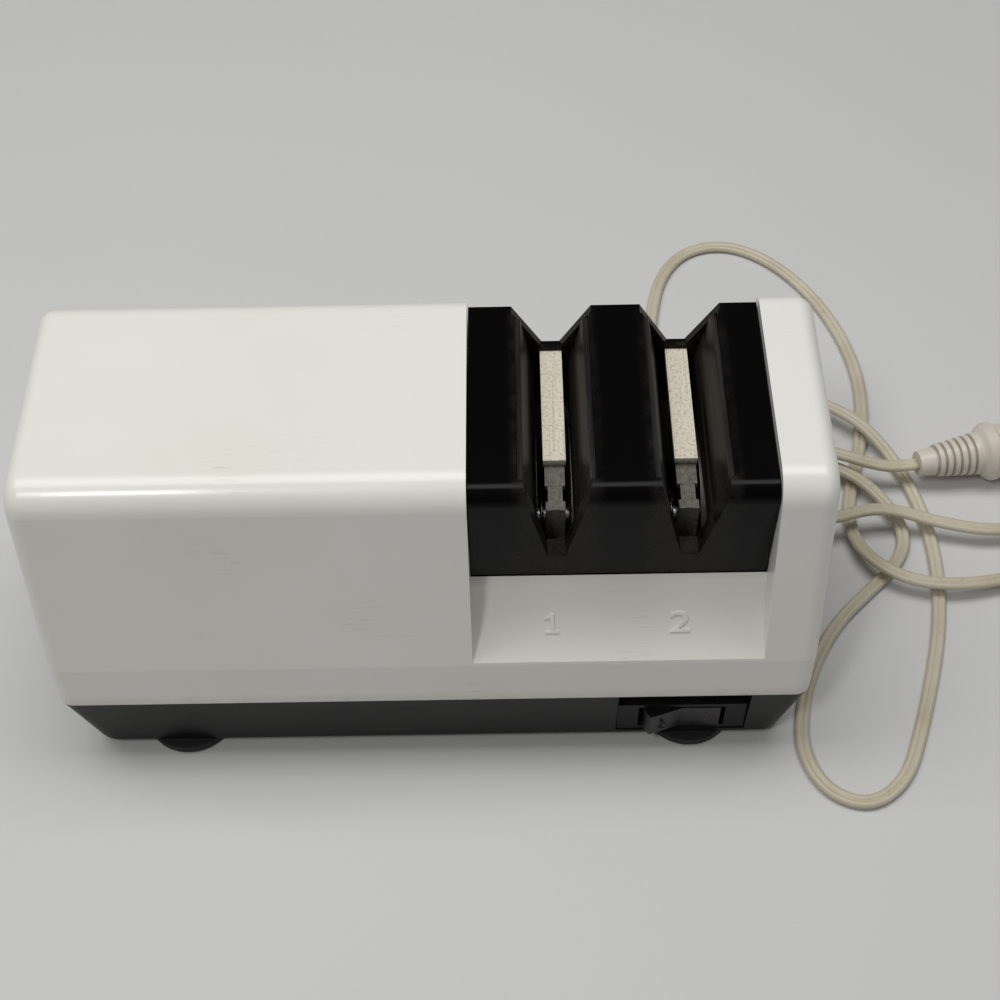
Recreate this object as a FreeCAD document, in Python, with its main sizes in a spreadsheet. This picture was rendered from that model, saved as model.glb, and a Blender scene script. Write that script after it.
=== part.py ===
import FreeCAD, Part
import math
import os
import re

# Two-stage electric knife sharpener. X runs along the length, -Y is the front, +Z is up.
# The origin is at the bottom centre of the appliance, without its cord. Millimetres.

DOC = FreeCAD.newDocument("KnifeSharpener")
SHEET = DOC.addObject("Spreadsheet::Sheet", "Sizes")
V = FreeCAD.Vector

SIZES = {
    # housing
    "body_length": (229.0, "length at the parting line"),
    "body_depth": (91.0, "depth at the parting line"),
    "parting_height": (30.0, "height of the line between base and cover"),
    "cover_height": (111.2, "height of the top of the cover"),
    "crease_height": (47.5, "height of the crease in the front face"),
    "crease_inset": (1.5, "how far the crease stands behind the parting line"),
    "top_front_inset": (18.5, "how far the top front edge stands behind the parting line"),
    "top_back_inset": (0.2, "how far the top back edge stands in"),
    "wall": (2.5, "housing wall"),
    "front_round": (10.0, "rounding of the top front edge"),
    "back_round": (6.0, "rounding of the top back edge"),
    "end_round": (5.0, "rounding of the two ends"),
    "fit_gap": (0.3, "gap between a fitted insert and the cover"),
    # bay
    "bay_end": (16.3, "distance of the bay from the right end"),
    "bay_length": (85.8, "length of the bay"),
    "bay_right": ("=body_length / 2 - bay_end", "right side of the bay"),
    "bay_left": ("=bay_right - bay_length", "left side of the bay"),
    "bay_deep": (45.2, "depth of the bay walls below the cover top"),
    "bay_depth_low": ("=cover_height - bay_deep", "height down to which the bay walls reach"),
    "ledge_drop": (41.2, "back edge of the ledge below the cover top"),
    "ledge_height": ("=cover_height - ledge_drop", "height of the back edge of the ledge"),
    "ledge_rise": (1.0, "front edge of the ledge above the crease"),
    "ledge_front": ("=crease_height + ledge_rise", "height of the front edge of the ledge"),
    "ledge_edge_inset": (1.6, "how far the front edge of the ledge stands in"),
    "ledge_sag": (2.2, "hollow of the ledge face"),
    # base
    "base_bottom": (4.0, "underside of the base tray"),
    "base_end_taper": (5.0, "inward taper of each end"),
    "base_side_taper": (2.0, "inward taper of front and back"),
    "base_round": (8.0, "rounding of the upright edges at the floor"),
    # guide module
    "module_front": ("=body_depth / 2 - top_front_inset", "front face of the module, in front of the middle"),
    "module_back_inset": (2.5, "back face of the module in front of the back"),
    "module_back": ("=body_depth / 2 - module_back_inset", "back face of the module, behind the middle"),
    "module_sink": (3.0, "top of the module below the cover top"),
    "module_top": ("=cover_height - module_sink", "top face of the module"),
    "module_round": (5.0, "rounding of the top front edge of the module"),
    "module_wall_front": (6.0, "front wall of the module"),
    "module_wall_back": (2.5, "back wall of the module"),
    "stage_in": (24.8, "first stage from the left side of the bay"),
    "stage_one": ("=bay_left + stage_in", "middle of the first stage"),
    "stage_pitch": (38.0, "distance between the stages"),
    "stage_two": ("=stage_one + stage_pitch", "middle of the second stage"),
    "front_notch_half": (9.3, "half width of a front notch at the top"),
    "front_notch_low": (2.6, "half width of a front notch at its bottom"),
    "front_notch_deep": (28.7, "depth of a front notch"),
    "front_notch_floor": ("=module_top - front_notch_deep", "height of the bottom of a front notch"),
    "back_notch_half": (11.8, "half width of a back notch at the top"),
    "back_notch_low": (2.7, "half width of a back notch at its bottom"),
    "back_notch_deep": (15.6, "depth of a back notch"),
    "back_notch_floor": ("=module_top - back_notch_deep", "height of the bottom of a back notch"),
    "well_chamfer": (1.2, "chamfer along the top of a well"),
    "well_half": (11.0, "half width of the well inside a stage"),
    # guide plates
    "plate_sink": (2.7, "top of a guide plate below the module top"),
    "plate_top": ("=module_top - plate_sink", "top edge of a guide plate"),
    "plate_high": (21.5, "height of a guide plate"),
    "plate_low": ("=plate_top - plate_high", "bottom edge of a guide plate"),
    "plate_face_top": (9.2, "face of a plate at its top, from the stage middle"),
    "plate_face_low": (5.2, "face of a plate at its bottom, from the stage middle"),
    "plate_gap": (0.1, "gap round a guide plate"),
    "magnet_length": (16.0, "guide magnet length"),
    "magnet_height": (7.0, "guide magnet height"),
    "magnet_thick": (2.0, "guide magnet thickness"),
    "magnet_gap": (0.1, "gap round a guide magnet"),
    # divider bars
    "bar_half": (3.3, "half width of a divider bar"),
    "bar_sink": (17.2, "top of a divider bar below the module top"),
    "bar_top": ("=module_top - bar_sink", "top of a divider bar"),
    "bar_thick": (3.0, "thickness of the head of a bar"),
    "bar_front": (1.5, "front end of the wide head, in front of the middle"),
    "bar_nose_half": (2.9, "half width of the shoulder in front of the head"),
    "bar_neck_half": (2.1, "half width of the neck"),
    "bar_head_length": (7.0, "length of the shoulder in front of the head"),
    "bar_post_front": (17.0, "front face of the post, in front of the middle"),
    "bar_post_thick": (3.0, "thickness of the post"),
    "bar_post_half": (2.8, "half width of the post"),
    "bar_web_half": (1.0, "half thickness of the web under the head"),
    "bar_web_drop": (4.0, "drop of the web under the head"),
    # drive line
    "shaft_back": (6.0, "shaft axis behind the middle"),
    "shaft_drop": (59.2, "shaft axis below the cover top"),
    "shaft_height": ("=cover_height - shaft_drop", "shaft axis height"),
    "shaft_radius": (4.0, "shaft radius"),
    "stack_in": (54.5, "stator stack from the left end"),
    "shaft_tail": (24.0, "left end of the shaft from the stack"),
    "shaft_left": ("=-body_length / 2 + stack_in - shaft_tail", "left end of the shaft"),
    "shaft_end_gap": (1.7, "right end of the shaft from the bay side"),
    "shaft_right": ("=bay_right - shaft_end_gap", "right end of the shaft"),
    "running_gap": (0.05, "radial running clearance"),
    "bearing_radius": (8.0, "outer radius of a bearing"),
    "bearing_length": (7.0, "length of a bearing"),
    # disks
    "disk_radius": (28.0, "radius of an abrasive disk"),
    "disk_thick": (1.6, "thickness of an abrasive disk"),
    "disk_offset": (5.0, "inner face of a disk from the stage middle"),
    "hub_radius": (9.0, "radius of a disk hub"),
    "hub_length": (7.5, "length of a disk hub"),
    "disk_travel": (2.0, "travel of a disk along the shaft"),
    "pin_radius": (1.0, "radius of a drive pin"),
    "pin_length": (15.0, "length of a drive pin"),
    "pin_offset": (3.2, "drive pin from the outer face of its disk"),
    "pin_gap": (0.1, "gap between a drive pin and its slot"),
    "spring_radius": (7.0, "outer radius of a disk spring"),
    "spring_wire": (1.0, "wire of a disk spring"),
    "spring_gap": (0.2, "gap at each end of a spring"),
    # motor
    "stack_left": ("=-body_length / 2 + stack_in", "left face of the stator stack"),
    "stack_length": (32.0, "length of the stator stack"),
    "stack_half": (30.0, "half width of the stator stack"),
    "stack_low": (28.0, "stack below the axis"),
    "stack_high": (41.0, "stack above the axis"),
    "stack_bar": (12.0, "height of the coil bar"),
    "stack_window": (12.0, "height of the coil window"),
    "stack_leg": (12.0, "width of a stack leg"),
    "rotor_radius": (14.0, "radius of the rotor core"),
    "air_gap": (0.5, "gap between rotor and stator"),
    "rotor_over": (1.0, "rotor reach past each stack face"),
    "coil_thick": (6.5, "build of the coil"),
    "coil_gap": (0.3, "gap between coil and stack"),
    "bracket_thick": (2.5, "thickness of a motor bracket"),
    "bracket_gap": (5.0, "distance from the stack to a bracket"),
    "bracket_half": (26.0, "half width of a bracket"),
    "bracket_over": (22.0, "height of a bracket above the axis"),
    "motor_screw_side": (22.0, "motor screws to each side of the axis"),
    "motor_screw_drop": (20.0, "motor screws below the axis"),
    "motor_screw_radius": (2.0, "radius of a motor screw"),
    "motor_head_radius": (3.5, "radius of the head and nut of a motor screw"),
    "motor_head_thick": (2.6, "thickness of the head and nut of a motor screw"),
    "motor_screw_over": (2.0, "reach of a motor screw past its bracket"),
    "spacer_radius": (4.0, "outer radius of a motor spacer"),
    "swarf_over": (6.0, "reach of the swarf magnet past the stages"),
    "swarf_half": (6.0, "half width of the swarf magnet"),
    "swarf_thick": (3.0, "thickness of the swarf magnet"),
    "fan_radius": (24.0, "fan radius"),
    "fan_gap": (21.0, "left face of the fan from the stack"),
    "fan_left": ("=stack_left - fan_gap", "left face of the fan"),
    "fan_length": (9.0, "fan length"),
    "fan_blade": (1.6, "thickness of a fan blade"),
    "fan_hub": (8.0, "fan hub radius"),
    # fasteners and feet
    "post_in_left": (15.5, "left row of cover screws from the end"),
    "post_left": ("=-body_length / 2 + post_in_left", "left row of cover screws"),
    "post_in_right": (11.5, "right row of cover screws from the end"),
    "post_right": ("=body_length / 2 - post_in_right", "right row of cover screws"),
    "post_in_side": (14.5, "cover screws from front and back"),
    "post_side": ("=body_depth / 2 - post_in_side", "cover screws to each side"),
    "post_radius": (4.2, "radius of a screw post"),
    "post_drop": (37.2, "top of the cover posts below the cover top"),
    "post_top": ("=cover_height - post_drop", "top of the cover posts"),
    "screw_radius": (1.6, "radius of a housing screw"),
    "screw_head": (3.2, "radius of a screw head"),
    "screw_length": (38.0, "length of a cover screw"),
    "screw_gap": (0.08, "gap between a screw and its hole"),
    "foot_radius": (14.0, "radius of a rubber foot"),
    "foot_in": (35.0, "feet from the ends"),
    "foot_x": ("=body_length / 2 - foot_in", "feet to each side of the middle"),
    "foot_in_side": (12.5, "feet from front and back"),
    "foot_y": ("=body_depth / 2 - foot_in_side", "feet in front of and behind the middle"),
    "foot_screw_reach": (2.2, "reach of a foot screw into the floor"),
    "foot_recess": (1.6, "recess under a foot for its screw"),
    # switch
    "switch_in": (38.1, "middle of the switch from the right end"),
    "switch_x": ("=body_length / 2 - switch_in", "middle of the switch"),
    "switch_z": (13.3, "height of the middle of the switch"),
    "bezel_half": (19.9, "half length of the bezel"),
    "bezel_half_high": (7.3, "half height of the bezel"),
    "bezel_inset": (2.2, "face of the bezel behind the parting line"),
    "bezel_face": ("=body_depth / 2 - bezel_inset", "face of the bezel, in front of the middle"),
    "bezel_thick": (2.2, "thickness of the bezel"),
    "rocker_reach": (13.0, "reach of the rocker from its pivot"),
    "rocker_half_high": (5.4, "half height of the rocker"),
    "rocker_gap": (0.4, "gap round the rocker"),
    "rocker_pivot": (5.0, "pivot behind the bezel face"),
    "rocker_angle": (9.0, "half of the rocker's swing in degrees"),
    "rocker_pin": (1.5, "radius of the rocker's pivot pin"),
    "lug_half": (3.0, "half width of a switch lug"),
    "lug_space": (4.6, "half width of the notch in the rocker round a lug"),
    "switch_depth": (17.0, "depth of the switch body"),
    "recess_half": (20.2, "half length of the recess in the base"),
    # cord
    "gland_in": (40.5, "cord exit from the right end"),
    "gland_x": ("=body_length / 2 - gland_in", "cord exit along the length"),
    "gland_z": (14.0, "cord exit height"),
    "gland_reach": (14.5, "reach of the cord sleeve behind the back"),
    "gland_end": ("=body_depth / 2 + gland_reach", "end of the cord sleeve behind the middle"),
    "gland_flange": (6.4, "radius of the sleeve flange"),
    "gland_neck": (4.4, "radius of the sleeve in the wall"),
    "gland_tip": (3.3, "radius of the sleeve at its end"),
    "cord_diameter": (4.0, "diameter of the round tube that stands for the flat cord"),
    "plug_relief": (22.0, "length of the ribbed sleeve of the plug"),
    "plug_collar": (5.5, "length of the smooth part of the plug sleeve"),
    "plug_rib_deep": (1.5, "depth of the slots in the plug sleeve"),
    "plug_sleeve_end": (1.0, "smooth end of the plug sleeve at the body"),
    "plug_length": (22.0, "length of the plug body"),
    "plug_radius": (10.5, "radius of the plug flange"),
    "blade_length": (16.0, "length of the plug blades"),
    "blade_spacing": (12.7, "distance between the plug blades"),
    "blade_width": (6.4, "width of a plug blade"),
    "blade_thick": (1.5, "thickness of a plug blade"),
}

for row, (alias, (value, note)) in enumerate(SIZES.items(), start=1):
    SHEET.set("A%d" % row, alias)
    SHEET.set("B%d" % row, str(value))
    SHEET.setAlias("B%d" % row, alias)
    SHEET.set("C%d" % row, note)
DOC.recompute()


def num(name):
    return float(SHEET.get(name))


def linked(text):
    """Turn bare size names into references to the sheet."""
    return re.sub(r"[a-z_]+", lambda m: "Sizes." + m.group(0) if m.group(0) in SIZES else m.group(0), str(text))


def bind(obj, prop, text):
    obj.setExpression(prop, linked(text))


def place(obj, x="0", y="0", z="0"):
    bind(obj, "Placement.Base.x", x)
    bind(obj, "Placement.Base.y", y)
    bind(obj, "Placement.Base.z", z)


def box(name, x, y, z):
    """A box from three (low, high) pairs of expressions."""
    obj = DOC.addObject("Part::Box", name)
    for prop, (low, high) in zip(("Length", "Width", "Height"), (x, y, z)):
        bind(obj, prop, "(%s) - (%s)" % (high, low))
    place(obj, x[0], y[0], z[0])
    return obj


TURNS = {
    "x": FreeCAD.Rotation(V(0, 1, 0), 90),
    "y": FreeCAD.Rotation(V(1, 0, 0), -90),
    "z": FreeCAD.Rotation(),
}


def rod(name, axis, start, radius, length):
    """A cylinder that starts at a point of three expressions and runs along one axis."""
    obj = DOC.addObject("Part::Cylinder", name)
    obj.Placement = FreeCAD.Placement(V(), TURNS[axis])
    bind(obj, "Radius", radius)
    bind(obj, "Height", length)
    place(obj, *start)
    return obj


def cone(name, axis, start, radius_start, radius_end, length):
    obj = DOC.addObject("Part::Cone", name)
    obj.Placement = FreeCAD.Placement(V(), TURNS[axis])
    bind(obj, "Radius1", radius_start)
    bind(obj, "Radius2", radius_end)
    bind(obj, "Height", length)
    place(obj, *start)
    return obj


def fuse(name, items):
    obj = DOC.addObject("Part::MultiFuse", name)
    obj.Shapes = items
    obj.Refine = True
    return obj


def cut(name, base, tools):
    obj = DOC.addObject("Part::Cut", name)
    obj.Base = base
    obj.Tool = tools[0] if len(tools) == 1 else fuse(name + "_tools", tools)
    return obj


def common(name, base, tool):
    obj = DOC.addObject("Part::Common", name)
    obj.Base = base
    obj.Tool = tool
    return obj


def group(name, items):
    obj = DOC.addObject("Part::Compound", name)
    obj.Links = items
    return obj


PLANES = {"x": "YZ_Plane", "y": "XZ_Plane", "z": "XY_Plane"}


def origin_plane(body, axis):
    for item in body.Origin.OriginFeatures:
        if item.Role == PLANES[axis]:
            return item
    raise RuntimeError("no plane for " + axis)


def sketch_polygon(body, name, axis, level, points):
    """A closed polygon on an origin plane, with each corner held by sizes of the sheet."""
    sketch = body.newObject("Sketcher::SketchObject", name)
    sketch.AttachmentSupport = [(origin_plane(body, axis), "")]
    sketch.MapMode = "FlatFace"
    bind(sketch, "AttachmentOffset.Base.z", level if axis != "y" else "-(%s)" % level)
    values = [tuple(value_of(c) for c in p) for p in points]
    count = len(values)
    for i in range(count):
        a, b = values[i], values[(i + 1) % count]
        sketch.addGeometry(Part.LineSegment(V(a[0], a[1], 0), V(b[0], b[1], 0)), False)
    for i in range(count):
        import_constraint(sketch, "Coincident", i, 2, (i + 1) % count, 1)
    for i in range(count):
        for kind, place_index in (("DistanceX", 0), ("DistanceY", 1)):
            import_constraint(sketch, kind, -1, 1, i, 1, values[i][place_index])
            bind(sketch, "Constraints[%d]" % (sketch.ConstraintCount - 1), points[i][place_index])
    return sketch


def import_constraint(sketch, *args):
    import Sketcher
    sketch.addConstraint(Sketcher.Constraint(*args))


def value_of(text):
    """The value of a plain sum or product of sizes, for a sketch's first shape."""
    SHEET.set("E1", "=" + re.sub(r"[a-z_]+", lambda m: m.group(0), str(text)))
    SHEET.recompute()
    return float(SHEET.get("E1"))


def pad(name, axis, low, high, points):
    """A PartDesign body: a polygon across one axis, padded from low to high."""
    body = DOC.addObject("PartDesign::Body", name)
    start = high if axis == "y" else low
    sketch = sketch_polygon(body, name + "_sketch", axis, start, points)
    feature = body.newObject("PartDesign::Pad", name + "_pad")
    feature.Profile = sketch
    bind(feature, "Length", "(%s) - (%s)" % (high, low))
    body.Tip = feature
    return body


def fillet(body, name, radius, chooser):
    """Round the edges that the chooser accepts on the body's present shape."""
    DOC.recompute()
    base = body.Tip
    edges = [("Edge%d" % (i + 1)) for i, e in enumerate(base.Shape.Edges) if chooser(e)]
    feature = body.newObject("PartDesign::Fillet", name)
    feature.Base = (base, edges)
    bind(feature, "Radius", radius)
    body.Tip = feature
    DOC.recompute()
    return feature


def along(edge, axis):
    d = edge.Vertexes[-1].Point - edge.Vertexes[0].Point
    return d.Length > 1e-6 and abs(getattr(d.normalize(), axis)) > 0.999


def mid(edge):
    return edge.CenterOfMass


PARTS = []


def finish(obj, label):
    obj.Label = label
    PARTS.append(obj)
    return obj


HALF_LENGTH = "body_length / 2"
HALF_DEPTH = "body_depth / 2"


# Housing shell

def side_profile(inset, low):
    """Side view of the cover, moved inward by a wall."""
    lean = "(%s) * 1.035" % inset
    return [
        ("-%s + %s" % (HALF_DEPTH, inset), low),
        ("-%s + crease_inset + %s" % (HALF_DEPTH, inset), "crease_height"),
        ("-%s + top_front_inset + %s" % (HALF_DEPTH, lean), "cover_height - %s" % inset),
        ("%s - top_back_inset - %s" % (HALF_DEPTH, inset), "cover_height - %s" % inset),
        ("%s - %s" % (HALF_DEPTH, inset), low),
    ]


def top_edge(edge, front, inset=0.0):
    top = num("cover_height") - inset
    return along(edge, "x") and abs(mid(edge).z - top) < 0.01 and (mid(edge).y < 0) == front


shell = pad("cover_shell", "x", "-" + HALF_LENGTH, HALF_LENGTH, side_profile("0", "parting_height"))
fillet(shell, "cover_front_round", "front_round", lambda e: top_edge(e, True))
fillet(shell, "cover_back_round", "back_round", lambda e: top_edge(e, False))


def end_edge(edge):
    box_ = edge.BoundBox
    flat = box_.XLength < 0.01 and abs(abs(box_.XMin) - num("body_length") / 2) < 0.01
    bottom = box_.ZMax < num("parting_height") + 0.01
    return flat and not bottom


fillet(shell, "cover_end_round", "end_round", end_edge)

# The bay is cut above a hollow ledge. Its side view is a line, an arc and a rounded lip.
bay_back = num("body_depth") / 2 + 10
ledge_low = V(0, -num("body_depth") / 2 + num("ledge_edge_inset"), num("ledge_front"))
ledge_high = V(0, -num("module_front") - num("fit_gap") - 1.6, num("ledge_height") - 2.6)
ledge_lip = V(0, -num("module_front") - num("fit_gap"), num("ledge_height"))


def sagged(a, b, sag):
    """The middle point of an arc that hangs below the chord by a given depth."""
    chord = (b - a).normalize()
    normal = V(0, chord.z, -chord.y)
    return (a + b) * 0.5 + normal * sag


def ledge_wire(drop, sink):
    """The line of the ledge face, moved inward by a wall, as edges from front to back."""
    chord = (ledge_high - ledge_low).normalize()
    inward = V(0, chord.z, -chord.y) * drop
    low = ledge_low + inward
    high = ledge_high + inward
    lip = ledge_lip + V(0, 0, -sink)
    arc = Part.Arc(low, sagged(low, high, num("ledge_sag")), high).toShape()
    return low, lip, [arc, Part.LineSegment(high, lip).toShape()]


def prism_x(name, edges, low, high):
    """A plain prism along X over a closed outline in the YZ plane."""
    face = Part.Face(Part.Wire(edges))
    face.translate(V(low, 0, 0))
    obj = DOC.addObject("Part::Feature", name)
    obj.Shape = face.extrude(V(high - low, 0, 0))
    return obj


def lines(*points):
    return [Part.LineSegment(a, b).toShape() for a, b in zip(points[:-1], points[1:])]


low, lip, edges = ledge_wire(0.0, 0.0)
front_out = -num("body_depth") / 2 - 10
high_out = num("cover_height") + 10
edges += lines(lip, V(0, bay_back, lip.z), V(0, bay_back, high_out), V(0, front_out, high_out),
               V(0, front_out, low.z), low)
bay_cut = prism_x("bay_cut", edges, num("bay_left"), num("bay_right"))

# The space under the ledge
low, lip, edges = ledge_wire(num("wall"), num("wall") * 1.2)
inner_front = -num("body_depth") / 2 + num("wall")
under_low = num("parting_height") - 1
edges += lines(lip, V(0, lip.y, num("ledge_height") + 5), V(0, num("body_depth") / 2 - num("wall"),
               num("ledge_height") + 5), V(0, num("body_depth") / 2 - num("wall"), under_low),
               V(0, inner_front, under_low), V(0, low.y, low.z))
under_ledge = prism_x("under_ledge", edges, num("bay_left") - num("wall") - 0.5, num("bay_right") + 0.5)

hood_inside = pad("hood_inside", "x", "-%s + wall" % HALF_LENGTH, "bay_left - wall",
                  side_profile("wall", "parting_height - 1"))
fillet(hood_inside, "hood_inside_round", "front_round - wall", lambda e: top_edge(e, True, num("wall")))
fin_inside = pad("fin_inside", "x", "bay_right + wall", "%s - wall" % HALF_LENGTH,
                 side_profile("wall", "parting_height - 1"))
fillet(fin_inside, "fin_inside_round", "front_round - wall", lambda e: top_edge(e, True, num("wall")))
side_pass = box("side_pass", ("bay_left - wall - 1", "bay_right + wall + 1"),
                ("-%s + crease_inset + wall + 1" % HALF_DEPTH, "%s - wall" % HALF_DEPTH),
                ("parting_height - 1", "crease_height - 2"))
side_pass_high = box("side_pass_high", ("bay_left - wall - 1", "bay_right + wall + 1"),
                     ("-module_front + wall", "%s - wall" % HALF_DEPTH), ("parting_height", "bay_depth_low - 4"))
# The back wall is open behind the module, as the notches run through.
hollow = cut("cover_hollow", shell, [bay_cut, under_ledge, hood_inside, fin_inside, side_pass, side_pass_high])

posts = []
for side in ("-post_side", "post_side"):
    for column in ("post_left", "post_right"):
        posts.append(rod("cover_post", "z", (column, side, "parting_height"), "post_radius",
                         "post_top - parting_height"))
    posts.append(box("cover_rib", ("-%s + wall / 2" % HALF_LENGTH, "post_left"), (side + " - 1", side + " + 1"),
                     ("parting_height", "post_top")))
    posts.append(box("cover_rib", ("post_right", "%s - wall / 2" % HALF_LENGTH), (side + " - 1", side + " + 1"),
                     ("parting_height", "post_top")))
full = fuse("cover_with_posts", [hollow] + posts)
pilots = [rod("cover_pilot", "z", (column, side, "parting_height - 1"), "screw_radius + screw_gap",
              "screw_length + 2")
          for side in ("-post_side", "post_side") for column in ("post_left", "post_right")]
outer_guard = common("cover_trim", full, box(
    "cover_envelope", ("-" + HALF_LENGTH, HALF_LENGTH), ("-" + HALF_DEPTH, HALF_DEPTH),
    ("parting_height", "cover_height")))
finish(cut("top_cover_shape", outer_guard, pilots), "top_cover")


# Base tray: a lofted tub that narrows downward

def rounded_outline(half_x, half_y, radius, z):
    """A rectangle with rounded corners as a closed wire."""
    corners = [(1, 1), (-1, 1), (-1, -1), (1, -1)]
    edges_ = []
    for i, (sx, sy) in enumerate(corners):
        centre = V(sx * (half_x - radius), sy * (half_y - radius), z)
        start = math.atan2(sy, sx) - math.pi / 4
        points_ = [centre + V(math.cos(start + t), math.sin(start + t), 0) * radius
                   for t in (0, math.pi / 4, math.pi / 2)]
        nx, ny = corners[(i + 1) % 4]
        follow = V(nx * (half_x - radius), ny * (half_y - radius), z)
        next_start = math.atan2(ny, nx) - math.pi / 4
        edges_.append(Part.Arc(*points_).toShape())
        edges_.append(Part.LineSegment(points_[2], follow + V(math.cos(next_start), math.sin(next_start), 0)
                                       * radius).toShape())
    return Part.Wire(edges_)


def tub(name, inset, floor, top):
    """A loft between the outline at the floor and the outline at the parting line."""
    half_x = num("body_length") / 2 - inset
    half_y = num("body_depth") / 2 - inset
    low_wire = rounded_outline(half_x - num("base_end_taper"), half_y - num("base_side_taper"),
                               num("base_round") - inset, floor)
    high_wire = rounded_outline(half_x, half_y, num("end_round") - inset, top)
    obj = DOC.addObject("Part::Feature", name)
    obj.Shape = Part.makeLoft([low_wire, high_wire], True, True)
    return obj


tub_outside = tub("tub_outside", 0.0, num("base_bottom"), num("parting_height"))
tub_inside = tub("tub_inside", num("wall"), num("base_bottom") + num("wall"), num("parting_height") + 0.001)

recess = box("switch_recess", ("switch_x - recess_half", "switch_x + recess_half"),
             ("-%s - 5" % HALF_DEPTH, "-bezel_face + bezel_thick"),
             ("switch_z - bezel_half_high - 0.6", "parting_height + 1"))
recess_shell = box("switch_recess_wall", ("switch_x - recess_half - wall", "switch_x + recess_half + wall"),
                   ("-%s + base_side_taper + 0.5" % HALF_DEPTH, "-bezel_face + bezel_thick + wall"),
                   ("base_bottom + 0.5", "parting_height"))
switch_hole = box("switch_hole", ("switch_x - rocker_reach - 2", "switch_x + rocker_reach + 2"),
                  ("-%s" % HALF_DEPTH, "-bezel_face + bezel_thick + wall + 1"),
                  ("switch_z - rocker_half_high - 1.2", "switch_z + rocker_half_high + 1.2"))
gland_hole = rod("gland_hole", "y", ("gland_x", "%s - 12" % HALF_DEPTH, "gland_z"), "gland_neck + 0.05", "20")

bosses = []
boss_holes = []
for side in ("-post_side", "post_side"):
    for column in ("post_left", "post_right"):
        bosses.append(rod("base_boss", "z", (column, side, "base_bottom + 0.5"), "post_radius",
                          "parting_height - base_bottom - 0.5"))
        boss_holes.append(rod("base_boss_hole", "z", (column, side, "base_bottom - 1"),
                              "screw_radius + 0.3", "parting_height"))
        boss_holes.append(rod("base_counterbore", "z", (column, side, "base_bottom - 1"),
                              "screw_head + 0.4", "4.2"))
for side in ("-foot_y", "foot_y"):
    for column in ("-foot_x", "foot_x"):
        bosses.append(rod("foot_boss", "z", (column, side, "base_bottom + 0.5"), "3.4", "wall + foot_screw_reach - 2.5"))
        boss_holes.append(rod("foot_pilot", "z", (column, side, "base_bottom - 1"),
                              "screw_radius + screw_gap", "9"))

# Ribs on the floor hold the motor brackets and the outboard bracket.
FLOOR = "base_bottom + wall"
FRONT_BRACKET = "stack_left + stack_length + bracket_gap"
REAR_BRACKET = "stack_left - bracket_gap - bracket_thick"
END_BRACKET = "shaft_right - bearing_length / 2 - bracket_thick / 2 + 0.5"
for where in (FRONT_BRACKET, REAR_BRACKET, END_BRACKET):
    for offset in ("-1.7", "bracket_thick + 0.2"):
        start = "%s + %s" % (where, offset)
        for half in ("-18", "6"):
            bosses.append(box("bracket_rib", (start, start + " + 1.5"),
                              ("shaft_back + %s" % half, "shaft_back + %s + 12" % half),
                              ("base_bottom + 0.5", FLOOR + " + 5")))
vents = [box("floor_vent", ("stack_left - 24 + %d" % (i * 6), "stack_left - 21 + %d" % (i * 6)),
             ("-20", "20"), ("base_bottom - 1", "base_bottom + wall + 1")) for i in range(3)]
tub_shell = cut("tub_shell", tub_outside, [tub_inside])
tub_walls = common("recess_walls", fuse("tub_additions", [recess_shell] + bosses), tub_outside)
tub_solid = fuse("tub_solid", [tub_shell, tub_walls])
finish(cut("base_tray_shape", tub_solid, [recess, switch_hole, gland_hole] + boss_holes + vents), "base_tray")


# Guide module with two V notches

def wedge(name, middle, low, high, half_top, half_low, floor, top):
    return pad(name, "y", low, high, [
        ("%s - %s" % (middle, half_low), floor), ("%s + %s" % (middle, half_low), floor),
        ("%s + %s" % (middle, half_top), top), ("%s - %s" % (middle, half_top), top)])


module_block = pad("module_block", "x", "bay_left + fit_gap", "bay_right - fit_gap", [
    ("-module_front", "bay_depth_low + fit_gap + 0.2"), ("module_back", "bay_depth_low + fit_gap + 0.2"),
    ("module_back", "module_top"), ("-module_front", "module_top")])
fillet(module_block, "module_front_round", "module_round",
       lambda e: along(e, "x") and mid(e).y < 0 and mid(e).z > num("module_top") - 0.01)
module_cuts = []
STAGES = (("one", "stage_one"), ("two", "stage_two"))
for tag, middle in STAGES:
    module_cuts.append(wedge("front_notch_" + tag, middle, "-module_front - 1", "-module_front + module_wall_front + 1",
                             "front_notch_half", "front_notch_low", "front_notch_floor", "module_top"))
    module_cuts.append(wedge("back_notch_" + tag, middle, "module_back - module_wall_back - 1", "module_back + 1",
                             "back_notch_half", "back_notch_low", "back_notch_floor", "module_top"))
    module_cuts.append(wedge("well_edge_" + tag, middle, "-module_front + module_wall_front",
                             "module_back - module_wall_back", "well_half + well_chamfer", "well_half",
                             "module_top - well_chamfer", "module_top"))
    module_cuts.append(box("stage_well_" + tag, (middle + " - well_half", middle + " + well_half"),
                           ("-module_front + module_wall_front", "module_back - module_wall_back"),
                           ("bay_depth_low - 1", "module_top + 1")))
finish(cut("guide_module_shape", module_block, module_cuts), "guide_module")

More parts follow.
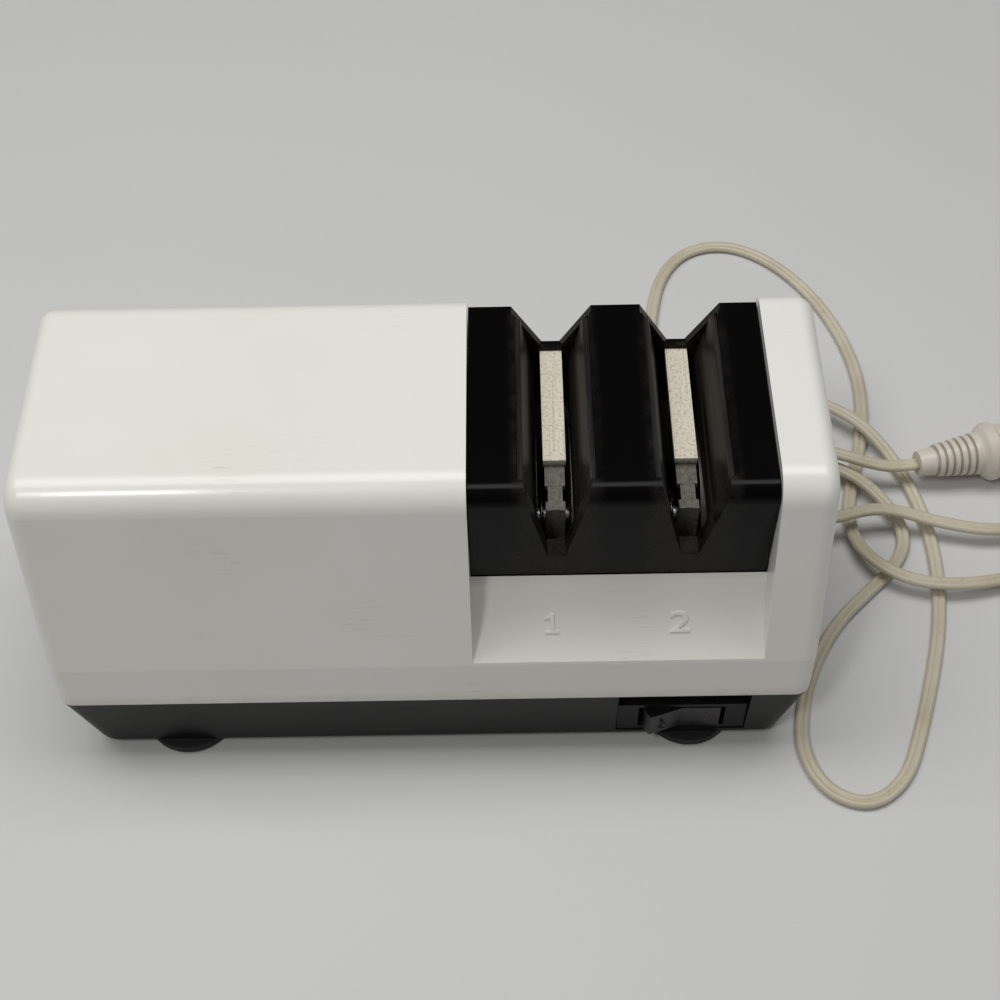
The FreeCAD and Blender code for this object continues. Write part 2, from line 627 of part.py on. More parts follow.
# Guide plates with their magnets, and the divider bars
WELL_FRONT = "-module_front + module_wall_front + plate_gap"
WELL_BACK = "module_back - module_wall_back - plate_gap"
magnets = []
for tag, middle in STAGES:
    for side, sign in (("left", "-"), ("right", "+")):
        def off(text):
            return "%s %s (%s)" % (middle, sign, text)
        points = [(off("well_half - plate_gap"), "plate_low"), (off("plate_face_low"), "plate_low"),
                  (off("plate_face_top"), "plate_top"), (off("well_half - plate_gap"), "plate_top")]
        if sign == "+":
            points.reverse()
        raw = pad("plate_%s_%s" % (tag, side), "y", WELL_FRONT, WELL_BACK, points)
        near, far = off("well_half - plate_gap + 1"), off("well_half - plate_gap - magnet_thick - magnet_gap")
        pocket_x = (near, far) if sign == "-" else (far, near)
        pocket = box("magnet_pocket", pocket_x, ("shaft_back - magnet_length / 2 - magnet_gap",
                     "shaft_back + magnet_length / 2 + magnet_gap"),
                     ("plate_low + 2 - magnet_gap", "plate_low + 2 + magnet_height + magnet_gap"))
        number = "1" if tag == "one" else "2"
        finish(cut("guide_plate_%s_%s_shape" % (tag, side), raw, [pocket]), "guide_plate_%s_%s" % (number, side))
        near, far = off("well_half - plate_gap"), off("well_half - plate_gap - magnet_thick")
        magnets.append(box("magnet", (near, far) if sign == "-" else (far, near),
                           ("shaft_back - magnet_length / 2", "shaft_back + magnet_length / 2"),
                           ("plate_low + 2", "plate_low + 2 + magnet_height")))
    number = "1" if tag == "one" else "2"
    head_low = "bar_top - bar_thick"
    pieces = [
        box("bar_head", (middle + " - bar_half", middle + " + bar_half"), ("-bar_front", WELL_BACK),
            (head_low, "bar_top")),
        box("bar_web", (middle + " - bar_web_half", middle + " + bar_web_half"), ("-bar_post_front", WELL_BACK),
            (head_low + " - bar_web_drop", head_low + " + 0.2")),
        box("bar_nose", (middle + " - bar_nose_half", middle + " + bar_nose_half"),
            ("-bar_front - bar_head_length", "-bar_front + 1"), (head_low + " - 2", head_low + " + 0.2")),
        box("bar_neck", (middle + " - bar_neck_half", middle + " + bar_neck_half"),
            ("-bar_post_front", "-bar_front"), (head_low + " - 2", head_low)),
        box("bar_post", (middle + " - bar_post_half", middle + " + bar_post_half"),
            ("-bar_post_front", "-bar_post_front + bar_post_thick"), ("bay_depth_low + 2", head_low)),
        box("bar_tab", (middle + " - bar_neck_half", middle + " + bar_neck_half"),
            (WELL_FRONT, "-bar_post_front + 1"), ("bay_depth_low + 2", "bay_depth_low + 8")),
    ]
    finish(fuse("divider_bar_%s_shape" % tag, pieces), "divider_bar_" + number)
finish(group("guide_magnets_shape", magnets), "guide_magnets")


# Drive line

AXIS = ("shaft_back", "shaft_height")


def disk_pin_x(middle, sign):
    return "%s %s (disk_offset + disk_thick + pin_offset)" % (middle, sign)


shaft_rod = rod("shaft_rod", "x", ("shaft_left",) + AXIS, "shaft_radius", "shaft_right - shaft_left")
pin_holes = []
pins = []
for tag, middle in STAGES:
    for sign in ("-", "+"):
        x = disk_pin_x(middle, sign)
        pin_holes.append(rod("pin_hole", "z", (x, "shaft_back", "shaft_height - shaft_radius - 1"),
                             "pin_radius + 0.02", "2 * shaft_radius + 2"))
        pins.append(rod("drive_pin", "z", (x, "shaft_back", "shaft_height - pin_length / 2"),
                        "pin_radius", "pin_length"))
finish(cut("main_shaft_shape", shaft_rod, pin_holes), "main_shaft")
finish(group("drive_pins_shape", pins), "drive_pins")

rotor = rod("rotor_body", "x", ("stack_left - rotor_over",) + AXIS, "rotor_radius", "stack_length + 2 * rotor_over")
finish(cut("rotor_core_shape", rotor, [rod("rotor_bore", "x", ("stack_left - rotor_over - 1",) + AXIS,
                                           "shaft_radius", "stack_length + 2 * rotor_over + 2")]), "rotor_core")

blades = [rod("fan_hub", "x", ("fan_left",) + AXIS, "fan_hub", "fan_length"),
          rod("fan_plate", "x", ("fan_left + fan_length - 1.6",) + AXIS, "fan_radius", "1.6")]
for i in range(8):
    blade = DOC.addObject("Part::Box", "fan_blade")
    bind(blade, "Length", "fan_length - 1")
    bind(blade, "Width", "fan_radius - fan_hub + 1.5")
    bind(blade, "Height", "fan_blade")
    angle = i * 45.0
    turn = FreeCAD.Rotation(V(1, 0, 0), angle)
    blade.Placement = FreeCAD.Placement(V(), turn)
    c, s = math.cos(math.radians(angle)), math.sin(math.radians(angle))
    place(blade, "fan_left", "shaft_back + %.9f * (fan_hub - 1.5) + %.9f * fan_blade / 2" % (c, s),
          "shaft_height + %.9f * (fan_hub - 1.5) - %.9f * fan_blade / 2" % (s, c))
    blades.append(blade)
finish(cut("cooling_fan_shape", fuse("fan_all", blades), [
    rod("fan_bore", "x", ("fan_left - 1",) + AXIS, "shaft_radius", "fan_length + 2")]), "cooling_fan")

springs = []
for tag, middle in STAGES:
    number = "1" if tag == "one" else "2"
    for side, sign in (("left", "-"), ("right", "+")):
        def off(text):
            return "%s %s (%s)" % (middle, sign, text)

        def span(near, far):
            return (off(far), off(near)) if sign == "-" else (off(near), off(far))

        def along_x(name, near, far, radius):
            low_x, high_x = span(near, far)
            return rod(name, "x", (low_x,) + AXIS, radius, "(%s) - (%s)" % (high_x, low_x))
        disk = fuse("disk_%s_%s" % (tag, side), [
            along_x("disk_plate", "disk_offset", "disk_offset + disk_thick", "disk_radius"),
            along_x("disk_hub", "disk_offset", "disk_offset + disk_thick + hub_length", "hub_radius")])
        bore = along_x("disk_bore", "disk_offset - 1", "disk_offset + disk_thick + hub_length + 1",
                       "shaft_radius + running_gap")
        pin_x = "disk_offset + disk_thick + pin_offset"
        slot_x = span("%s - pin_radius - pin_gap" % pin_x, "%s + pin_radius + pin_gap + disk_travel" % pin_x)
        slot = box("disk_slot", slot_x, ("shaft_back - pin_radius - pin_gap", "shaft_back + pin_radius + pin_gap"),
                   ("shaft_height - pin_length / 2 - pin_gap", "shaft_height + pin_length / 2 + pin_gap"))
        kind = "coarse" if tag == "one" else "fine"
        finish(cut("%s_disk_%s_shape" % (kind, side), disk, [bore, slot]), "%s_disk_%s" % (kind, side))
    ring = rod("spring_ring", "x", (middle + " - disk_offset + spring_gap",) + AXIS, "spring_radius",
               "2 * disk_offset - 2 * spring_gap")
    hole = rod("spring_hole", "x", (middle + " - disk_offset",) + AXIS, "spring_radius - spring_wire",
               "2 * disk_offset")
    finish(cut("disk_spring_%s_shape" % number, ring, [hole]), "disk_spring_" + number)

# Motor
CENTRE_Y = "shaft_back"
stack = box("stack", ("stack_left", "stack_left + stack_length"),
            (CENTRE_Y + " - stack_half", CENTRE_Y + " + stack_half"),
            ("shaft_height - stack_low", "shaft_height + stack_high"))
window = box("stack_window_cut", ("stack_left - 1", "stack_left + stack_length + 1"),
             (CENTRE_Y + " - stack_half + stack_leg", CENTRE_Y + " + stack_half - stack_leg"),
             ("shaft_height + stack_high - stack_bar - stack_window", "shaft_height + stack_high - stack_bar"))
stack_bore = rod("stack_bore", "x", ("stack_left - 1",) + AXIS, "rotor_radius + air_gap", "stack_length + 2")


def motor_screw_spots():
    return [(CENTRE_Y + " " + s + " motor_screw_side", "shaft_height - motor_screw_drop") for s in ("-", "+")]


stack_holes = [rod("stack_hole", "x", ("stack_left - 1",) + spot, "motor_screw_radius + screw_gap",
                   "stack_length + 2") for spot in motor_screw_spots()]
finish(cut("motor_stator_shape", stack, [window, stack_bore] + stack_holes), "motor_stator")

BAR_LOW = "shaft_height + stack_high - stack_bar"
BAR_HIGH = "shaft_height + stack_high"
COIL_Y = (CENTRE_Y + " - stack_half + stack_leg + 0.5", CENTRE_Y + " + stack_half - stack_leg - 0.5")
coil_body = pad("coil_body", "y", COIL_Y[0], COIL_Y[1], [
    ("stack_left - coil_gap - coil_thick", BAR_LOW + " - coil_gap - coil_thick"),
    ("stack_left + stack_length + coil_gap + coil_thick", BAR_LOW + " - coil_gap - coil_thick"),
    ("stack_left + stack_length + coil_gap + coil_thick", BAR_HIGH + " + coil_gap + coil_thick"),
    ("stack_left - coil_gap - coil_thick", BAR_HIGH + " + coil_gap + coil_thick")])
fillet(coil_body, "coil_round", "coil_thick * 0.7", lambda e: along(e, "y"))
coil_core = box("coil_core", ("stack_left - coil_gap", "stack_left + stack_length + coil_gap"),
                (CENTRE_Y + " - stack_half", CENTRE_Y + " + stack_half"),
                (BAR_LOW + " - coil_gap", BAR_HIGH + " + coil_gap"))
finish(cut("motor_coil_shape", coil_body, [coil_core]), "motor_coil")


def bracket(name, start, screws, top):
    plate = pad(name + "_plate", "x", start, "%s + bracket_thick" % start, [
        (CENTRE_Y + " - bracket_half", FLOOR), (CENTRE_Y + " + bracket_half", FLOOR),
        (CENTRE_Y + " + bracket_half", "shaft_height"), (CENTRE_Y + " + bracket_half / 2", top),
        (CENTRE_Y + " - bracket_half / 2", top), (CENTRE_Y + " - bracket_half", "shaft_height")])
    centre = "%s + bracket_thick / 2" % start
    collar = rod(name + "_collar", "x", (centre + " - bearing_length / 2",) + AXIS, "bearing_radius + 2",
                 "bearing_length")
    tools = [rod(name + "_seat", "x", (centre + " - bearing_length",) + AXIS, "bearing_radius",
                 "2 * bearing_length")]
    if screws:
        tools += [rod(name + "_hole", "x", (start + " - 1",) + spot, "motor_screw_radius + screw_gap",
                      "bracket_thick + 2") for spot in motor_screw_spots()]
    return cut(name + "_shape", fuse(name + "_all", [plate, collar]), tools)


finish(bracket("motor_bracket_front", FRONT_BRACKET, True, "shaft_height + bracket_over * 0.6"),
       "motor_bracket_front")
finish(bracket("motor_bracket_rear", REAR_BRACKET, True, "shaft_height + bracket_over * 0.6"),
       "motor_bracket_rear")
finish(bracket("shaft_end_bracket", END_BRACKET, False, "shaft_height + 12"), "shaft_end_bracket")

bushes = []
for start in (FRONT_BRACKET, REAR_BRACKET, END_BRACKET):
    low_x = "%s + bracket_thick / 2 - bearing_length / 2" % start
    ball = rod("bearing_body", "x", (low_x,) + AXIS, "bearing_radius", "bearing_length")
    bushes.append(cut("bearing", ball, [rod("bearing_bore", "x", (low_x + " - 1",) + AXIS,
                                            "shaft_radius + running_gap", "bearing_length + 2")]))
finish(group("shaft_bearings_shape", bushes), "shaft_bearings")

screws = []
for spot in motor_screw_spots():
    shank = rod("motor_screw_shank", "x", (REAR_BRACKET + " - motor_screw_over",) + spot, "motor_screw_radius",
                "stack_length + 2 * bracket_gap + 2 * bracket_thick + 2 * motor_screw_over")
    head = rod("motor_screw_head", "x", (FRONT_BRACKET + " + bracket_thick",) + spot, "motor_head_radius",
               "motor_head_thick")
    nut = rod("motor_screw_nut", "x", (REAR_BRACKET + " - motor_head_thick",) + spot, "motor_head_radius",
              "motor_head_thick")
    screws.append(fuse("motor_screw", [shank, head, nut]))
finish(group("motor_screws_shape", screws), "motor_screws")

spacers = []
for start, stop in ((REAR_BRACKET + " + bracket_thick", "stack_left"),
                    ("stack_left + stack_length", FRONT_BRACKET)):
    for spot in motor_screw_spots():
        tube = rod("spacer_tube", "x", (start,) + spot, "spacer_radius", "(%s) - (%s)" % (stop, start))
        hole = rod("spacer_hole", "x", (start + " - 1",) + spot, "motor_screw_radius + screw_gap",
                   "(%s) - (%s) + 2" % (stop, start))
        spacers.append(cut("spacer", tube, [hole]))
finish(group("motor_spacers_shape", spacers), "motor_spacers")

finish(box("swarf_magnet_shape", ("stage_one - swarf_over", "stage_two + swarf_over"),
           ("shaft_back - swarf_half", "shaft_back + swarf_half"), (FLOOR, FLOOR + " + swarf_thick")), "swarf_magnet")

# Feet and screws
feet = []
foot_screws = []
for side in ("-foot_y", "foot_y"):
    for column in ("-foot_x", "foot_x"):
        foot = fuse("foot_all", [cone("foot_low", "z", (column, side, "0"), "foot_radius - 1.2", "foot_radius", "1.2"),
                                 rod("foot_high", "z", (column, side, "1.2"), "foot_radius", "base_bottom - 1.2")])
        feet.append(cut("foot", foot, [
            rod("foot_hollow", "z", (column, side, "-1"), "screw_head + 0.5", "foot_recess + 1"),
            rod("foot_hole", "z", (column, side, "-1"), "screw_radius + 0.2", "base_bottom + 2")]))
        foot_screws.append(fuse("foot_screw", [
            rod("foot_screw_head", "z", (column, side, "0.2"), "screw_head", "foot_recess - 0.2"),
            rod("foot_screw_shank", "z", (column, side, "0.2"), "screw_radius", "base_bottom + foot_screw_reach - 0.4")]))
finish(group("rubber_feet_shape", feet), "rubber_feet")
finish(group("foot_screws_shape", foot_screws), "foot_screws")

cover_screws = []
for side in ("-post_side", "post_side"):
    for column in ("post_left", "post_right"):
        cover_screws.append(fuse("cover_screw", [
            rod("cover_screw_head", "z", (column, side, "base_bottom + 0.9"), "screw_head", "2.3"),
            rod("cover_screw_shank", "z", (column, side, "base_bottom + 0.9"), "screw_radius", "screw_length")]))
finish(group("cover_screws_shape", cover_screws), "cover_screws")

# Rocker switch
PIVOT_Y = "-bezel_face + rocker_pivot"
bezel = box("bezel", ("switch_x - bezel_half", "switch_x + bezel_half"),
            ("-bezel_face", "-bezel_face + bezel_thick"),
            ("switch_z - bezel_half_high", "switch_z + bezel_half_high"))
switch_box = box("switch_box", ("switch_x - rocker_reach - 1.8", "switch_x + rocker_reach + 1.8"),
                 ("-bezel_face + bezel_thick - 0.1", "-bezel_face + switch_depth"),
                 ("switch_z - rocker_half_high - 1.1", "switch_z + rocker_half_high + 1.1"))
switch_pocket = box("switch_pocket", ("switch_x - rocker_reach - rocker_gap", "switch_x + rocker_reach + rocker_gap"),
                    ("-bezel_face - 1", "-bezel_face + switch_depth - 2"),
                    ("switch_z - rocker_half_high - 0.3", "switch_z + rocker_half_high + 0.3"))
lugs = [box("switch_lug", ("switch_x - lug_half", "switch_x + lug_half"), (PIVOT_Y + " - lug_half", "-bezel_face + switch_depth - 1"),
            span_z) for span_z in (("switch_z - rocker_half_high - 1", "switch_z - rocker_half_high + 1.6"),
                                   ("switch_z + rocker_half_high - 1.6", "switch_z + rocker_half_high + 1"))]
lug_bore = rod("switch_lug_bore", "z", ("switch_x", PIVOT_Y, "switch_z - rocker_half_high - 0.6"),
               "rocker_pin + running_gap", "2 * rocker_half_high + 1.2")
tabs = [box("switch_tab", ("switch_x %s" % a, "switch_x %s" % b), ("-bezel_face + switch_depth",
            "-bezel_face + switch_depth + 7"), ("switch_z - 3", "switch_z + 3"))
        for a, b in (("- 8", "- 7.2"), ("+ 7.2", "+ 8"))]
housing = fuse("switch_housing_all", [cut("switch_tub", fuse("switch_tub_all", [bezel, switch_box]),
                                          [switch_pocket])] + lugs)
finish(cut("switch_housing_shape", housing, [lug_bore]), "switch_housing")
finish(group("switch_terminals_shape", tabs), "switch_terminals")

swing = math.radians(2 * num("rocker_angle"))
reach = num("rocker_reach")
tip_out = "-bezel_face - 0.2 - 0.3249197 * rocker_reach"
rocker_outline = pad("rocker_outline", "z", "switch_z - rocker_half_high", "switch_z + rocker_half_high", [
    ("switch_x - rocker_reach", "%s + 1.5" % PIVOT_Y), ("switch_x + rocker_reach", "%s + 1.5" % PIVOT_Y),
    ("switch_x + rocker_reach", "-bezel_face - 0.2"), ("switch_x", "-bezel_face - 0.2"),
    ("switch_x - rocker_reach", tip_out)])
rocker_disc = rod("rocker_disc", "z", ("switch_x", PIVOT_Y, "switch_z - rocker_half_high - 1"), "rocker_reach",
                  "2 * rocker_half_high + 2")
rocker_notches = [box("rocker_notch", ("switch_x - lug_space", "switch_x + lug_space"),
                      (PIVOT_Y + " - lug_space", PIVOT_Y + " + 5"),
                      span_z) for span_z in (("switch_z - rocker_half_high - 1", "switch_z - rocker_half_high + 2"),
                                             ("switch_z + rocker_half_high - 2", "switch_z + rocker_half_high + 1"))]
rocker_pin = rod("rocker_pin_rod", "z", ("switch_x", PIVOT_Y, "switch_z - rocker_half_high - 0.2"), "rocker_pin",
                 "2 * rocker_half_high + 0.4")
rocker_body = cut("rocker_notched", common("rocker_blank", rocker_outline, rocker_disc), rocker_notches)
finish(fuse("switch_rocker_shape", [rocker_body, rocker_pin]), "switch_rocker")

# Cord sleeve at the back wall
WALL_OUT = "%s - base_side_taper * (parting_height - gland_z) / (parting_height - base_bottom)" % HALF_DEPTH
sleeve = [
    rod("gland_inner", "y", ("gland_x", "(%s) - wall - 4" % WALL_OUT, "gland_z"), "gland_flange", "3"),
    rod("gland_neck_rod", "y", ("gland_x", "(%s) - wall - 1" % WALL_OUT, "gland_z"), "gland_neck", "wall + 2"),
    rod("gland_outer", "y", ("gland_x", "(%s) + 0.7" % WALL_OUT, "gland_z"), "gland_flange", "1.8"),
    cone("gland_boot", "y", ("gland_x", "(%s) + 1.5" % WALL_OUT, "gland_z"), "gland_neck + 0.6", "gland_tip",
         "gland_end - (%s) - 1.5" % WALL_OUT),
]
finish(fuse("cord_gland_shape", sleeve), "cord_gland")

# Cord: straight runs joined by tangent arcs
ROUTE = [
    (74, 60, 14), (74, 71, 14), (74.6, 90, 9), (76, 112, 3), (79, 136, 2),
    (83.5, 156, 2), (94, 170, 2), (110, 173.5, 2), (126, 165.5, 2), (140, 148.5, 2),
    (149.5, 127, 2), (154, 104, 2), (152.6, 82.5, 2), (148, 64, 2), (142.5, 47, 2),
    (141, 31, 3.6), (146.5, 17.5, 6.8), (159, 9.5, 6.7), (176, 8, 6.7), (194, 12, 5),
    (213, 14, 3), (231, 10.5, 2), (246, 14.5, 2), (253, 28, 2.2), (245.5, 41, 2.8), (230, 43.5, 3.6),
    (211, 36, 5), (192, 29, 6.5), (172, 32.5, 7.2), (155.5, 37.5, 9.4),
    (145, 36.5, 10.6), (133.5, 32.8, 10.4), (121.4, 34.6, 9.8), (115.8, 46, 8.8), (120.6, 57.8, 7.4),
    (132.5, 60.4, 6.7), (145, 54.8, 6.6), (155.5, 43.5, 4.3), (160.5, 30.5, 2), (154.5, 18.5, 2),
    (143.5, 8.5, 2), (132, -3, 2), (123, -17.5, 2), (117, -33.5, 2), (114.6, -49.5, 2),
    (120.5, -64, 2), (134, -69.5, 2), (146.5, -60.5, 2), (153.5, -43.5, 2), (160, -25, 2),
    (165.5, -6, 2), (168.6, 13.5, 2), (168.6, 33, 2), (165.5, 51, 2), (159.5, 66.5, 3.2),
    (150, 77.5, 7.4), (137.8, 87.5, 6.6), (124.5, 93, 5.4), (111.5, 91.5, 4.8), (103, 82.5, 4.8),
    (103.5, 71, 6), (113.5, 64.6, 7.6), (127, 65.6, 9.2), (140, 60.6, 10.8), (150.5, 56.2, 10.5),
    (159.14, 54.55, 10.35), (166.5, 56, 10.35),
]


def cord_wire(corners):
    """Edges of the path and its arc radii."""
    edges = []
    radii = []
    cursor = corners[0]
    for a, b, c in zip(corners[:-2], corners[1:-1], corners[2:]):
        u = (a - b).normalize()
        w = (c - b).normalize()
        turn = math.pi - u.getAngle(w)
        reach_back = 0.45 * min((a - b).Length, (c - b).Length)
        radii.append(reach_back / math.tan(turn / 2))
        start = b + u * reach_back
        end = b + w * reach_back
        to_centre = (u + w).normalize()
        middle = b + to_centre * (radii[-1] / math.cos(turn / 2) - radii[-1])
        if (start - cursor).Length > 1e-4:
            edges.append(Part.LineSegment(cursor, start).toShape())
        edges.append(Part.Arc(start, middle, end).toShape())
        cursor = end
    edges.append(Part.LineSegment(cursor, corners[-1]).toShape())
    return Part.Wire(edges), radii


# The whole route moves with the end of the cord sleeve.
route_shift = V(num("gland_x") - ROUTE[0][0], num("gland_end") - ROUTE[0][1], 0)
route = [V(*p) + route_shift for p in ROUTE]
wire, radii = cord_wire(route)
cord_radius = num("cord_diameter") / 2
start_direction = (route[1] - route[0]).normalize()
ring = Part.Wire([Part.Circle(route[0], start_direction, cord_radius).toShape()])
cord_shape = wire.makePipeShell([ring], True, False)
cord = DOC.addObject("Part::Feature", "power_cord_shape")
cord.Shape = cord_shape
finish(cord, "power_cord")
print("cord radii, smallest first:", [round(r, 1) for r in sorted(radii)[:12]])
print("cord length %.1f mm, volume %.1f of %.1f mm3" % (
    wire.Length, cord_shape.Volume, wire.Length * math.pi * cord_radius ** 2))

# Plug on the end of the cord: a ribbed sleeve, a flanged body and two blades
plug_start = route[-1]
plug_axis = V(0.981, 0.193, 0.0).normalize()
plug_side = V(-plug_axis.y, plug_axis.x, 0)

relief = num("plug_relief")
collar = num("plug_collar")
profile_points = [(0.0, 0.0), (0.0, 4.4), (collar, 5.0)]
RIBS = 6
rib_deep = num("plug_rib_deep")
step = (relief - collar - num("plug_sleeve_end")) / RIBS
for i in range(RIBS):
    x = collar + i * step
    r = 5.0 + (i + 1) * 0.33
    profile_points += [(x, r - rib_deep), (x + step * 0.4, r - rib_deep), (x + step * 0.4, r + 0.35),
                       (x + step, r + 0.5)]
flange = num("plug_radius")
length = num("plug_length")
profile_points += [(relief, 7.4), (relief + 1.5, flange - 1.2), (relief + 3, flange - 0.2), (relief + 5, flange - 0.2),
                   (relief + 6, flange - 1.4), (relief + length, flange - 2.2), (relief + length, 0.0), (0.0, 0.0)]
outline = Part.makePolygon([V(r, 0, x) for x, r in profile_points])
plug_solid = Part.Face(outline).revolve(V(0, 0, 0), V(0, 0, 1), 360)
blade_shapes = []
for sign in (-1, 1):
    blade_shapes.append(Part.makeBox(num("blade_thick"), num("blade_width"), num("blade_length"),
                                     V(sign * num("blade_spacing") / 2 - num("blade_thick") / 2,
                                       -num("blade_width") / 2, relief + length)))
plug = DOC.addObject("Part::Feature", "plug_body_shape")
plug.Shape = plug_solid if plug_solid.Volume > 0 else plug_solid.reversed()
plug_turn = FreeCAD.Rotation(plug_side, V(0, 0, 1), plug_axis, "ZXY")
plug.Placement = FreeCAD.Placement(plug_start, plug_turn)
finish(plug, "plug_body")
blade_obj = DOC.addObject("Part::Feature", "plug_blades_shape")
blade_obj.Shape = Part.makeCompound(blade_shapes)
blade_obj.Placement = FreeCAD.Placement(plug_start, plug_turn)
finish(blade_obj, "plug_blades")


# Checks, then one STEP file for each piece
DOC.recompute()
for obj in DOC.Objects:
    if "Invalid" in obj.State or "Error" in obj.State:
        raise RuntimeError("%s (%s) failed: %s" % (obj.Name, obj.Label, obj.State))
os.makedirs("parts", exist_ok=True)
for obj in PARTS:
    shape = obj.Shape
    if shape.isNull() or not shape.isValid() or not shape.Solids:
        raise RuntimeError("%s has no sound shape" % obj.Label)
for obj in PARTS:
    obj.Shape.exportStep(os.path.join("parts", obj.Label + ".step"))
    b = obj.Shape.BoundBox
    print("%-22s solids %2d volume %10.1f  x %7.1f..%6.1f y %7.1f..%6.1f z %6.1f..%6.1f" % (
        obj.Label, len(obj.Shape.Solids), obj.Shape.Volume, b.XMin, b.XMax, b.YMin, b.YMax, b.ZMin, b.ZMax))
print("%d pieces written" % len(PARTS))
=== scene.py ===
# %% [markdown]
# # An electric knife sharpener, dressed for a photograph
#
# The solids of this machine are already made and sit in the frame: a glossy white cover, a black
# base tray, a black module with two V notches, and all that turns inside. This lesson gives them
# their surfaces, adds the pieces that solids leave out, and lays the mains lead on the floor.
# Everything is in metres, in the frame's own axes: +Z is up, the front faces -Y.

# %% Load the frame
import math

import bpy
from mathutils import Matrix, Vector


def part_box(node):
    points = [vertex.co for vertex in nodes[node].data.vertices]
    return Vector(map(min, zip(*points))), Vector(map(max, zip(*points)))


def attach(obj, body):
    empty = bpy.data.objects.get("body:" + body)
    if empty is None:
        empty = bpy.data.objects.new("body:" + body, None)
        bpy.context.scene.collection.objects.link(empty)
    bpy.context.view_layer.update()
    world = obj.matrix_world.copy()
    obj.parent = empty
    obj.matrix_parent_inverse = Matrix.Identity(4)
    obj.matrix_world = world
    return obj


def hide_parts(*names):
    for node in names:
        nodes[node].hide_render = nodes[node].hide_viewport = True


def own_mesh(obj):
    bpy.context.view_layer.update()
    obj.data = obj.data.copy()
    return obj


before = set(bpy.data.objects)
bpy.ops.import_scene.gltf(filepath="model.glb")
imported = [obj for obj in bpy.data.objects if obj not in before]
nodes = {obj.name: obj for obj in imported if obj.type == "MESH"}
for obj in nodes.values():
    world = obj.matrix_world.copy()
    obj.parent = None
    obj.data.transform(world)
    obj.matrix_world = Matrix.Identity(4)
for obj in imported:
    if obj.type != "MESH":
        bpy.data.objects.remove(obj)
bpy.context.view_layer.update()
MM = 0.001

# %% [markdown]
# ## Small helpers
#
# An operator acts on everything that is selected, and loading the frame leaves all its nodes
# selected. So the first habit is to clear the selection, make one object, and settle its place
# into its mesh before going on.

# %% Selecting, settling, applying
def clear_selection():
    if bpy.context.object and bpy.context.object.mode != "OBJECT":
        bpy.ops.object.mode_set(mode="OBJECT")
    bpy.ops.object.select_all(action="DESELECT")


def only(piece):
    clear_selection()
    piece.select_set(True)
    bpy.context.view_layer.objects.active = piece
    return piece


def settle(piece, name):
    """Name a piece and put its place, turn and scale into its mesh."""
    only(piece)
    bpy.ops.object.transform_apply(location=True, rotation=True, scale=True)
    piece.name = name
    piece.data.name = name
    return piece


def apply_modifier(piece, kind, **settings):
    only(piece)
    modifier = piece.modifiers.new(kind.title(), kind)
    for key, value in settings.items():
        setattr(modifier, key, value)
    bpy.ops.object.modifier_apply(modifier=modifier.name)


def outward(piece):
    """Merge doubles and turn every face outward."""
    only(piece)
    bpy.ops.object.mode_set(mode="EDIT")
    bpy.ops.mesh.select_all(action="SELECT")
    bpy.ops.mesh.remove_doubles(threshold=0.00001)
    bpy.ops.mesh.normals_make_consistent(inside=False)
    bpy.ops.object.mode_set(mode="OBJECT")


clear_selection()
print("selection is clear:", len(bpy.context.selected_objects))

# %% [markdown]
# ## The camera
#
# The machine was photographed by hand from above and in front, 54 degrees down, with a slight
# roll. A camera's columns are its right, its up and the reverse of its view, so three unit
# vectors and a place give the whole matrix. The camera comes first, because the lead must be
# laid where this view shows it.

# %% Camera
EYE = Vector((25.745, -281.219, 457.107)) * MM
PITCH = 0.94248
YAW = -0.01627
ROLL = -0.02988
FOCAL_PIXELS = 1596.907
PHOTO_PIXELS = 1000.0
SENSOR = 36.0

ahead = Vector((math.sin(YAW) * math.cos(PITCH), math.cos(YAW) * math.cos(PITCH), -math.sin(PITCH)))
level_right = Vector((math.cos(YAW), -math.sin(YAW), 0.0))
level_up = level_right.cross(ahead)
right = level_right * math.cos(ROLL) + level_up * math.sin(ROLL)
above = level_up * math.cos(ROLL) - level_right * math.sin(ROLL)

camera = bpy.data.objects.new("camera", bpy.data.cameras.new("camera"))
bpy.context.scene.collection.objects.link(camera)
camera.data.sensor_width = SENSOR
camera.data.lens = FOCAL_PIXELS / PHOTO_PIXELS * SENSOR
camera.data.clip_start = 0.02
camera.data.clip_end = 20.0
turn = Matrix((right, above, -ahead)).transposed().to_4x4()
camera.matrix_world = Matrix.Translation(EYE) @ turn
bpy.context.scene.camera = camera
print("lens %.2f mm" % camera.data.lens)

# %% [markdown]
# ## The lead's route
#
# The lead is a flat twin cord, limp and about a metre long. It leaves the back wall low down,
# drops to the floor, makes one wide loop behind the machine, runs off to the right and back, and
# ends in its plug. A NURBS spline of order 3 through a loose string of control points bends as
# such a lead does, with no kinks. Where it passes over itself the points rise into a long hump.
# The order and the end setting are given after the points exist, or they don't take.

